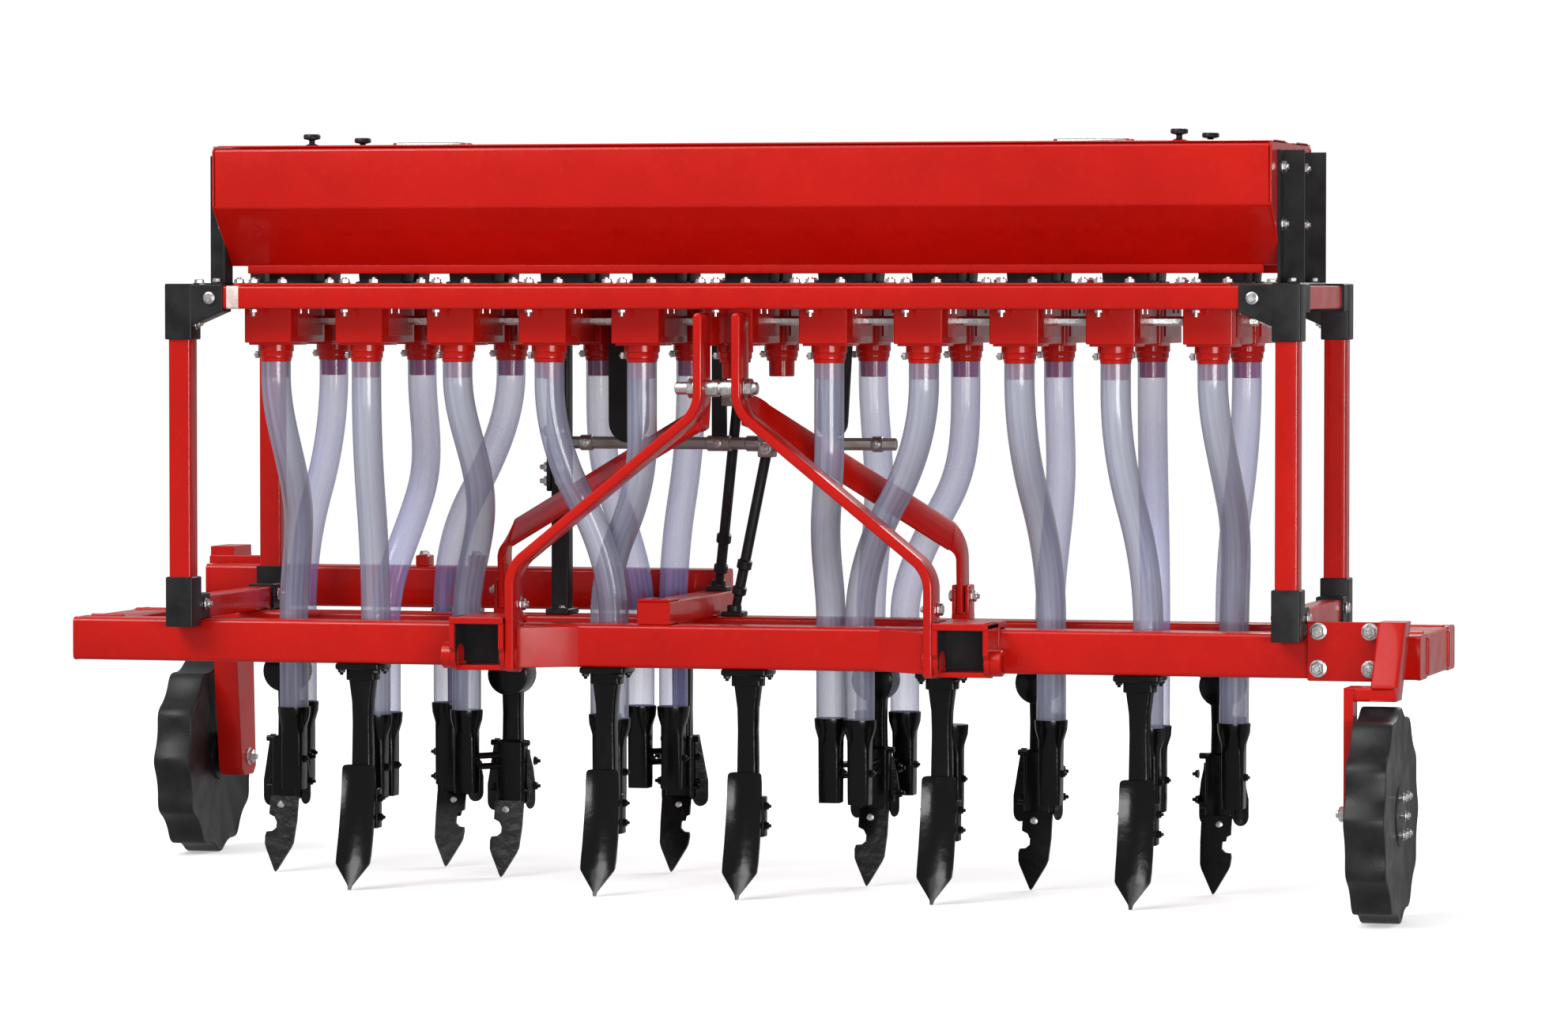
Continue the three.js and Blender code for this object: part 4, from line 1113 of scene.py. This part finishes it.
# ---------------------------------------------------------------- Drive gear
# A black post with its tension arm, a grey hexagon bar on three black hangers, and two black
# link rods with screwed ends down to the rails.
def weathered_steel():
    """Bare drawn steel: grey with brown film in patches and draw lines along it."""
    finish, shader, spot = new_finish("weathered_steel", "zinc")
    film = spot.noise(0.03, 4, (3, 1, 1)).ramp(0.4, 0.7)
    lines = spot.noise(0.0015, 2, (40, 1, 1))
    film.blend(colour(0.38, 0.37, 0.37), colour(0.24, 0.18, 0.15)).into(shader, "Base Color")
    (0.9 - film * 0.35).into(shader, "Metallic")
    (0.30 + film * 0.25 + lines * 0.08).into(shader, "Roughness")
    lines.bump(0.0001, 0.6).into(shader, "Normal")
    return finish


steel = weathered_steel()
low, high = corners("drive_post")
post_x = middle_x - 0.400
post_y = front_face + 0.3375
post_foot = low[2]
bar_z = post_foot + 0.3077
bar_y = post_y - 0.0273
post_shapes = bars(
    (post_x, post_y, 0),
    ((-0.016, -0.016, post_foot), (0.016, 0.016, high[2]), 2, 0.003),
    ((-0.022, -0.034, post_foot), (0.022, 0.034, post_foot + 0.010), 2, 0.004),
    ((-0.026, -0.014, bar_z - 0.088), (-0.017, 0.014, bar_z + 0.152), 2, 0.004),
    ((-0.016, -0.030, bar_z + 0.060), (0.016, -0.014, bar_z + 0.240), 2, 0.004),
)
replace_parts(piece("drive_post_bars", post_shapes, black), "drive_post")
post_bits = []
for z in (bar_z - 0.070, bar_z - 0.045, bar_z + 0.130, bar_z + 0.020):
    post_front = post_y - 0.030 if z > bar_z + 0.06 else post_y - 0.016
    post_bits += bolt((post_x - 0.026, post_y, z), (-1, 0, 0), 0.009, 0.006)
    post_bits += bolt((post_x, post_front, z), (0, -1, 0), 0.007)
hook = np.array([(-0.030, 0, 0.165), (-0.034, 0, 0.145), (-0.030, 0, 0.118), (-0.022, 0, 0.112)])
hook = filleted(hook + (post_x, post_y, bar_z), 0.006, 6)
post_bits.append(swept(circle(0.0055, 10), hook))
for angle in np.radians((-60, 60, 180)):
    spot = (post_x + 0.013 * math.cos(angle), post_y + 0.026 * math.sin(angle), post_foot + 0.010)
    post_bits += bolt(spot, (0, 0, 1), 0.006)
piece("drive_post_bolts", post_bits, zinc)

bar_left = post_x + 0.002
bar_length = middle_x + 0.224 - bar_left
hexagon = turned(rod(0.011, bar_length, 0.002), (bar_left, bar_y, bar_z), (1, 0, 0), 6)
collars = []
collar_bolts = []
for x, half in ((-0.345, 0.012), (-0.100, 0.022), (-0.020, 0.030), (0.100, 0.014), (0.190, 0.010)):
    profile = rod(0.0140, 2 * half, 0.0015, 0.0015)
    collars.append(turned(profile, (middle_x + x - half, bar_y, bar_z), (1, 0, 0), 12))
    collar_bolts += bolt((middle_x + x, bar_y - 0.013, bar_z), (0, -1, 0), 0.006, 0.003)
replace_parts(piece("cross_bar_hexagon", [hexagon, *collars], steel), "cross_bar")
piece("cross_bar_bolts", collar_bolts, zinc)

hanger_top = corners("cross_bar")[1][2]


def hanger_outline(x, half, lean, bottom):
    """A flat bar that leans to one side and ends in a half circle."""
    turn = np.linspace(math.pi, 2 * math.pi, 11)
    end = np.stack([middle_x + x + lean + half * np.cos(turn), bottom + half * np.sin(turn)], -1)
    return [(middle_x + x - half, hanger_top), *end, (middle_x + x + half, hanger_top)]


hangers = []
for x, half, drift, bottom, y_low, y_high in (
    (-0.263, 0.037, 0.0, 0.037, -0.0175, -0.0125),
    (-0.100, 0.013, 0.0, 0.012, -0.005, 0.005),
    (0.121, 0.028, -0.014, 0.038, -0.005, 0.005),
):
    outline = hanger_outline(x, half, drift, bar_z + bottom)
    hangers.append(plate(outline, 1, bar_y + y_low, bar_y + y_high))
clamp_low, clamp_high = (-0.300, -0.0125, -0.020), (-0.226, 0.012, 0)
hangers += bars((middle_x, bar_y, hanger_top), (clamp_low, clamp_high, 0, 0.002))
piece("cross_bar_hangers", hangers, black, bevel=0.0012)

link_ends = [
    ((-0.066, 0.310, bar_z + 0.080), (-0.135, 0.432, beam_top + 0.0403), 0.70),
    ((-0.012, 0.310, bar_z - 0.010), (-0.080, 0.3375, beam_top + 0.0003), 0.66),
]
links = []
link_feet = []
for start, end, knuckle in link_ends:
    start = np.array(start) + (middle_x, front_face, 0)
    end = np.array(end) + (middle_x, front_face, 0)
    way = end - start
    length = np.linalg.norm(way)
    nut = knuckle * length
    lock_nut = (knuckle + 0.16) * length
    turns = [
        (0.0085, 0.0), (0.0095, 0.002), (0.0095, nut), (0.0135, nut + 0.003), (0.0135, nut + 0.016),
        (0.0095, nut + 0.019), (0.0095, lock_nut), (0.0130, lock_nut + 0.003),
        (0.0130, lock_nut + 0.014), (0.0080, lock_nut + 0.018), (0.0080, length - 0.004),
        (0.0070, length),
    ]
    links.append(turned(turns, start, way, 16))
    link_feet += bars(end, ((-0.020, -0.020, 0), (0.020, 0.020, 0.0085), 2, 0.004))
    link_feet.append(turned([(0.013, 0), (0.013, 0.018), (0.011, 0.020)], end, (0, 0, 1), 16))
piece("link_rods", links, black)
piece("link_feet", link_feet, black)
origin = (middle_x, bar_y, bar_z)
yokes = bars(
    origin,
    ((-0.094, -0.012, 0.066), (-0.054, 0.012, 0.092), 0, 0.003),
    ((-0.026, -0.016, -0.024), (0.002, 0.016, 0.0145), 0, 0.003),
)
piece("link_yokes", yokes, steel)
yoke_bolts = bolts(
    origin,
    ((-0.066, -0.012, 0.079), (0, -1, 0), 0.009, 0.003),
    ((-0.012, -0.016, -0.008), (0, -1, 0), 0.009, 0.003),
)
piece("link_yoke_bolts", yoke_bolts, zinc)


# ---------------------------------------------------------------- Land wheels
# Deep cast discs with a scalloped rim, turned on a short axle, their caps held by studs.
def cast_black():
    """Black paint over a sand casting: grainy, with a dull bloom and rubbed patches."""
    finish, shader, spot = new_finish("cast_black", "black_paint", Specular_IOR_Level=0.32)
    bloom = spot.noise(0.05, 5).ramp(0.35, 0.75)
    grain = spot.noise(0.0025, 4)
    bloom.blend(colour(0.006, 0.006, 0.007), colour(0.022, 0.022, 0.024)).into(shader, "Base Color")
    (0.30 + bloom * 0.22 + grain * 0.08).into(shader, "Roughness")
    (grain + bloom * 0.6).bump(0.0006, 0.5).into(shader, "Normal")
    return finish


cast = cast_black()
wheel_radius = 0.180
lobes = 12
turn = np.linspace(0, 2 * np.pi, lobes * 14, endpoint=False)
lobe_line = np.stack([np.sin(turn), -np.cos(turn)], -1)
wave = 0.006
ripple = 0.0008
scallop = wheel_radius - wave + wave * np.cos(lobes * turn) + ripple * np.cos(2 * lobes * turn) - ripple


def scalloped(x, centre, shrink):
    """One ring of the rim at a place across the wheel: a circle with a cosine wave on it."""
    spots = lobe_line * (scallop - shrink)[:, None] + centre
    return np.column_stack([np.full(len(spots), x), spots])


for hand, side in (("left", -1), ("right", 1)):
    low, high = corners(f"{hand}_wheel")
    centre = np.array([(low[1] + high[1]) / 2, wheel_radius])
    across = high[0] - low[0]
    outer, inner = (high[0], low[0]) if side > 0 else (low[0], high[0])
    stations = [
        (0.0018, 0.150), (0.0018, 0.012), (0.0004, 0.0065), (0.0, 0.0045), (0.0010, 0.0014),
        (0.0035, 0.0), (across / 2, -0.0003), (across - 0.0035, 0.0), (across - 0.0010, 0.0014),
        (across, 0.0045), (across - 0.0006, 0.0065), (across - 0.003, 0.012), (across - 0.003, 0.150),
    ]
    rings = [scalloped(outer - side * step, centre, shrink) for step, shrink in stations]
    hub_profile = [(0.044, -0.006), (0.044, 0.001), (0.040, 0.0022), (0.020, 0.0022)]
    pad_profile = [(0.052, -0.004), (0.052, -0.0008), (0.050, 0.0), (0.020, 0.0)]
    hub = turned(hub_profile, (inner, *centre), (-side, 0, 0), 32)
    pad = turned(pad_profile, (outer, *centre), (side, 0, 0), 40)
    disc = [loft(rings), hub, pad]
    wheel_piece = piece(f"{hand}_wheel_disc", disc, cast, body=f"{hand}_wheel", sharp=34)
    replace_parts(wheel_piece, f"{hand}_wheel")
    studs = []
    stud_ring = [(0.038 * math.cos(a), 0.038 * math.sin(a)) for a in np.radians((55, 125, 235, 305))]
    for place in [(0, 0), *stud_ring]:
        spot = (outer, centre[0] + place[0], centre[1] + place[1])
        studs.append(turned([(0.0042, 0), (0.0042, 0.0065)], spot, (side, 0, 0), 12))
        studs += bolt(np.add(spot, (side * 0.0060, 0, 0)), (side, 0, 0), 0.0072, 0.0015)
    piece(f"{hand}_wheel_studs", studs, zinc, body=f"{hand}_wheel")


# ---------------------------------------------------------------- Wheel arms
# Welded arms of red flat bar, each on a plate with four bolts at the beam and an axle below.
arm_bolts = []
wheel_low = corners("right_wheel")[0]
arm_wide = 0.046
arm_x = wheel_low[0] + 0.015
leg_x = wheel_low[0] - 0.026
axle_y = front_face - 0.150
arm_foot = 2 * wheel_radius + 0.008
plate_low = np.array([arm_x - 0.131, front_face - 0.0103, beam_bottom - 0.003])
plate_high = np.array([arm_x + 0.014, front_face - 0.0003, beam_top + 0.022])
arm_rings = []
for y0, y1, z in (
    (axle_y - 0.018, axle_y + 0.049, arm_foot + 0.001),
    (axle_y - 0.017, axle_y + 0.049, arm_foot + 0.004),
    (front_face - 0.0755, front_face - 0.0095, beam_top + 0.024),
    (front_face - 0.0740, front_face - 0.0110, beam_top + 0.0255),
):
    outline = rounded(arm_wide / 2, (y1 - y0) / 2, 0.005)
    arm_rings.append(level(outline, arm_x + arm_wide / 2, (y0 + y1) / 2, z))
leg_outline = [
    (axle_y - 0.0215, arm_foot + 0.023), (axle_y - 0.0215, wheel_radius - 0.020),
    (axle_y - 0.014, wheel_radius - 0.033), (axle_y + 0.014, wheel_radius - 0.033),
    (axle_y + 0.0215, wheel_radius - 0.020), (axle_y + 0.0215, arm_foot + 0.023),
]
knee_low = (leg_x + 0.0005, axle_y - 0.0175, arm_foot + 0.0004)
knee_high = (arm_x + arm_wide - 0.0007, axle_y + 0.0455, arm_foot + 0.0236)
arm_shapes = [
    loft(arm_rings), bar(knee_low, knee_high, 0, 0.004), plate(leg_outline, 0, leg_x, leg_x + 0.016),
    bar(plate_low, plate_high, 1, 0.004),
]
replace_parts(piece("right_arm_bars", arm_shapes, red, sharp=36), "right_wheel_arm")
for x in (plate_low[0] + 0.019, arm_x - 0.024):
    for z in (beam_bottom + 0.018, beam_top + 0.006):
        arm_bolts += bolt((x, plate_low[1], z), (0, -1, 0), 0.0118, 0.002)
axle_profile = [(0.0145, 0), (0.0150, 0.001)]
right_start = (leg_x + 0.012, axle_y, wheel_radius)
axles = [turned([*axle_profile, (0.0150, 0.080)], right_start, (1, 0, 0), 24)]
arm_beads = welds(
    (arm_x, front_face - 0.0115, beam_top),
    ((-0.001, 0, -0.022), (-0.001, 0, 0.018)),
) + welds(
    (0, axle_y, arm_foot),
    ((leg_x + 0.018, 0.0465, 0.012), (arm_x + 0.040, 0.0465, 0.012)),
    ((arm_x + 0.004, -0.0190, 0.0245), (arm_x + 0.042, -0.0170, 0.0245)),
)

rear_face = front_face + 0.550
left_arm_x = middle_x - 1.148
left_axle_y = front_face + 0.638
rail_base = beam_top + 0.0003
arm_outline = [
    (rear_face + 0.008, rail_base), (left_axle_y - 0.038, 0.160), (left_axle_y - 0.024, 0.146),
    (left_axle_y + 0.024, 0.146), (left_axle_y + 0.038, 0.160),
    (left_axle_y + 0.014, rail_base + 0.105), (rear_face + 0.008, rail_base + 0.105),
]
left_shapes = [plate(arm_outline, 0, left_arm_x, left_arm_x + arm_wide)]
left_shapes += bars(
    (left_arm_x, rear_face, rail_base), ((0, 0.0003, -0.022), (0.130, 0.0103, 0.089), 1, 0.004)
)
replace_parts(piece("left_arm_bars", left_shapes, red, bevel=0.002), "left_wheel_arm")
for x in (left_arm_x + 0.066, left_arm_x + 0.113):
    for z in (rail_base - 0.004, rail_base + 0.072):
        arm_bolts += bolt((x, rear_face + 0.0103, z), (0, 1, 0), 0.0118, 0.002)
arm_bolts += bolt((left_arm_x + arm_wide, left_axle_y, wheel_radius), (1, 0, 0), 0.013, 0.004)
arm_bolts += bolt((leg_x, axle_y, wheel_radius), (-1, 0, 0), 0.013, 0.004)
left_start = (left_arm_x, left_axle_y, wheel_radius)
axles.append(turned([*axle_profile, (0.0150, 0.072)], left_start, (-1, 0, 0), 24))
piece("wheel_axles", axles, steel)
piece("wheel_arm_bolts", arm_bolts, zinc)
piece("wheel_arm_welds", arm_beads, red, sharp=60)


# ---------------------------------------------------------------- Tines
# Forged shanks clamped under the beams, with bolted points. The front row has long dished
# shovels; the others have short hooked points between side plates. Funnels take the hoses.
def gloss_black():
    """Thick black gloss over a forging: hammer waves, and grey where soil has polished it."""
    constants = {"Coat_Roughness": 0.16, "Specular_IOR_Level": 0.12}
    finish, shader, spot = new_finish("gloss_black", "black_paint", **constants)
    wave = spot.noise(0.022, 2)
    worn = spot.noise(0.05, 5, (1, 1, 2)).ramp(0.58, 0.85)
    worn.blend(colour(0.0024, 0.0024, 0.0026), colour(0.009, 0.009, 0.0095)).into(shader, "Base Color")
    (0.15 + worn * 0.20 + wave * 0.12).into(shader, "Roughness")
    (0.26 - worn * 0.16).into(shader, "Coat Weight")
    (wave * 1.2 + spot.noise(0.003, 3) * 0.15).bump(0.0016, 0.6).into(shader, "Normal")
    return finish


gloss = gloss_black()
row_y = {"front": 0.0375, "middle": 0.3375, "rear": 0.5125}
row_top = {"front": beam_bottom, "middle": beam_bottom, "rear": beam_top + 0.0003}
tines = [
    (-0.918, "middle", [(-0.882, 0.262), (-0.918, 0.413)]),
    (-0.675, "front", [(-0.675, 0.107), (-0.675, 0.165)]),
    (-0.652, "rear", [(-0.652, 0.4505)]),
    (-0.492, "middle", [(-0.556, 0.262)]),
    (-0.228, "front", [(-0.236, 0.107), (-0.283, 0.211)]),
    (-0.225, "rear", [(-0.225, 0.4505), (-0.287, 0.4505)]),
    (0.027, "front", []),
    (0.182, "middle", [(0.130, 0.211), (0.190, 0.181), (0.152, 0.413), (0.214, 0.413)]),
    (0.372, "front", [(0.372, 0.107)]),
    (0.478, "middle", [(0.514, 0.262), (0.478, 0.413)]),
    (0.718, "front", [(0.718, 0.107), (0.718, 0.165)]),
    (0.802, "middle", [(0.838, 0.262), (0.802, 0.413)]),
]
blade_z = np.array([0.215, 0.150, 0.095, 0.045, 0.0])
blade_y = np.array([-0.022, -0.026, -0.038, -0.056, -0.077])


def lean(z):
    """How far the point lies in front of the shank at a height: a cubic through five places."""
    curve = np.polyfit(blade_z, blade_y, 3)
    return np.polyval(curve, z)


def dished_shovel(x, y):
    """A blade of level slices: as wide as the height allows, dished back in its middle."""
    z = np.array([
        0.217, 0.216, 0.212, 0.200, 0.180, 0.150, 0.120, 0.090, 0.062, 0.047, 0.043, 0.012, 0.008,
        0.0012,
    ])
    half = np.array([
        0.021, 0.0265, 0.0292, 0.0300, 0.0304, 0.0308, 0.0312, 0.0312, 0.0312, 0.0306, 0.0288,
        0.0066, 0.0040, 0.0026,
    ])
    thick = np.clip(0.0095 * (half / 0.030) ** 0.5, 0.003, 0.0085)
    t = np.linspace(-1, 1, 9)
    rings = []
    for height, width, depth in zip(z, half, thick):
        dish = 0.0075 * (width / 0.03) ** 2
        front = np.column_stack([t * width, lean(height) - 0.0045 - t**2 * dish + dish * 0.5])
        rings.append(level(np.concatenate([front, front[::-1] + (0, depth)]), x, y, height))
    return loft(rings[::-1])


def hooked_point(x, y, hand):
    """A pointed blade with a hook-shaped notch in one edge; two outlines a thickness apart."""
    edge = np.array([
        (-0.024, 0.135), (-0.024, 0.102), (-0.014, 0.097), (-0.009, 0.088), (-0.009, 0.078),
        (-0.016, 0.072), (-0.026, 0.071), (-0.0275, 0.064), (-0.0262, 0.050), (-0.0235, 0.043),
        (-0.003, 0.0050), (0.0, 0.0012), (0.003, 0.0050), (0.0235, 0.043), (0.0268, 0.052),
        (0.0290, 0.090), (0.0290, 0.135),
    ])
    edge[:, 0] *= hand
    fall = y + lean(edge[:, 1]) - 0.003 - 0.004 * (edge[:, 0] / 0.03) ** 2
    front = np.column_stack([x + edge[:, 0], fall, edge[:, 1]])
    return loft([front, front + (0, 0.008, 0)])


def side_leaf(x, y, hand, reach, foot, head):
    """A drop-shaped side plate: a broad round foot, and a neck that narrows to its head."""
    turn = np.linspace(math.pi, 2 * math.pi, 9)
    end = np.stack([reach * 0.5 + reach * 0.5 * np.cos(turn), foot + 0.016 + 0.016 * np.sin(turn)], -1)
    outline = np.array([(0.0, head - 0.02), *end, (reach, foot + 0.046), (reach * 0.80, foot + 0.074),
                        (reach * 0.50, head - 0.012), (reach * 0.42, head), (0.0, head)])
    front = np.column_stack([x + hand * outline[:, 0], y + outline[:, 0] * 0.35, outline[:, 1]])
    return loft([front, front + (0, 0.005, 0)])


def funnel(x, y):
    """A boot: a round cup that narrows to a square chute with a slanted mouth."""
    shape = [
        (0.3000, 0.0290, 0.0288), (0.2960, 0.0292, 0.0290), (0.2830, 0.0282, 0.0278),
        (0.2640, 0.0215, 0.0160), (0.2500, 0.0198, 0.0080), (0.1700, 0.0190, 0.0050),
        (0.1515, 0.0186, 0.0050),
    ]
    return loft([level(rounded(half, half, radius, 6), x, y, z) for z, half, radius in shape])


def shank(x, y, top):
    """A forged bar of rounded section: wide under the clamp, waisted, and leaning forward."""
    z = np.array([top, top - 0.02, top - 0.06, 0.29, 0.235, 0.190, 0.150, 0.115, 0.090])
    middle = np.array([0.0, 0.0, 0.0, 0.0, 0.0, -0.002, -0.008, -0.018, -0.030])
    half_x = np.array([0.0235, 0.0225, 0.0175, 0.0165, 0.0175, 0.018, 0.018, 0.017, 0.014])
    half_y = np.array([0.016, 0.016, 0.015, 0.015, 0.015, 0.014, 0.012, 0.009, 0.006])
    table = zip(z, middle, half_x, half_y)
    return loft([level(rounded(hx, hy, 0.005), x, y + drift, height) for height, drift, hx, hy in table])


drum = [(0.033, 0), (0.037, 0.002), (0.038, 0.008), (0.038, 0.056), (0.036, 0.061), (0.031, 0.063)]
point_head = [(0.0090, 0), (0.0088, 0.002), (0.0065, 0.0045), (0.0025, 0.0056)]
tine_bolts = []
point_bolts = []
for number, (x, row, boots) in enumerate(tines, 1):
    x += middle_x
    y = front_face + row_y[row]
    top = row_top[row] - 0.0003
    shapes = bars((x, y, top), ((-0.041, -0.037, -0.010), (0.041, 0.037, 0), 2, 0.006))
    shapes.append(shank(x, y, top - 0.008))
    hand = 1 if number % 3 else -1
    if row == "front":
        shapes.append(dished_shovel(x, y))
        shapes += bars(
            (x, y, 0),
            ((-0.027, -0.018, top - 0.030), (0.027, 0.018, top - 0.009), 2, 0.006),
            ((0.020, -0.022, 0.105), (0.033, 0.006, 0.175), 2, 0.003),
        )
        for z in (0.158, 0.124):
            tine_bolts += bolt((x + 0.033, y - 0.008, z), (1, 0, 0), 0.0062, 0.003)
            tine_bolts += bolt((x - 0.0285, y - 0.008, z), (-1, 0, 0), 0.0055, 0.002)
    else:
        shapes.append(hooked_point(x, y, hand))
        body_front = y + lean(0.19)
        body_far = (0.027, 0.030, 0.243)
        shapes += bars((x, body_front, 0), ((-0.025, -0.006, 0.128), body_far, 2, 0.007, 0.004))
        shapes.append(side_leaf(x - hand * 0.022, body_front + 0.010, -hand, 0.026, 0.115, 0.245))
        shapes.append(side_leaf(x + hand * 0.024, body_front + 0.016, hand, 0.016, 0.118, 0.225))
        shapes.append(turned(drum, (x - hand * 0.002, y - 0.0315, top - 0.034), (0, 1, 0), 28))
        for z in (0.238, 0.151):
            pin_start = (x - 0.036, body_front + 0.004, z)
            shapes.append(turned(rod(0.0055, 0.072, 0.001), pin_start, (1, 0, 0), 14))
        for z in (0.205, 0.160):
            tine_bolts += bolt((x + hand * 0.040, body_front + 0.020, z), (hand, 0, 0), 0.0068, 0.004)
            tine_bolts += bolt((x - hand * 0.030, body_front + 0.014, z), (0, -1, 0), 0.0055, 0.001)
        head_spot = (x - hand * 0.003, y + lean(0.118) - 0.002, 0.118)
        point_bolts.append(turned(point_head, head_spot, (0, -1, 0), 16))
    for boot_x, boot_y in boots:
        boot_x += middle_x
        boot_y += front_face
        shapes.append(funnel(boot_x, boot_y))
        for z in (0.197, 0.216):
            shapes.append(swept(circle(0.0058, 14), [(x, y, z), (boot_x, boot_y, z)], (0, 0, 1)))
        tine_bolts += bolt((boot_x + 0.0195, boot_y, 0.206), (1, 0, 0), 0.006, 0.002)
    tine_piece = piece(f"tine_{number}_body", shapes, gloss, sharp=36)
    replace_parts(tine_piece, f"tine_{number}")
    for dx in (-0.031, 0.031):
        for dy in (-0.027, 0.027):
            tine_bolts += bolt((x + dx, y + dy, top - 0.010), (0, 0, -1), 0.0065, 0.003)
piece("tine_bolts", tine_bolts, gloss)
piece("point_bolts", point_bolts, zinc)
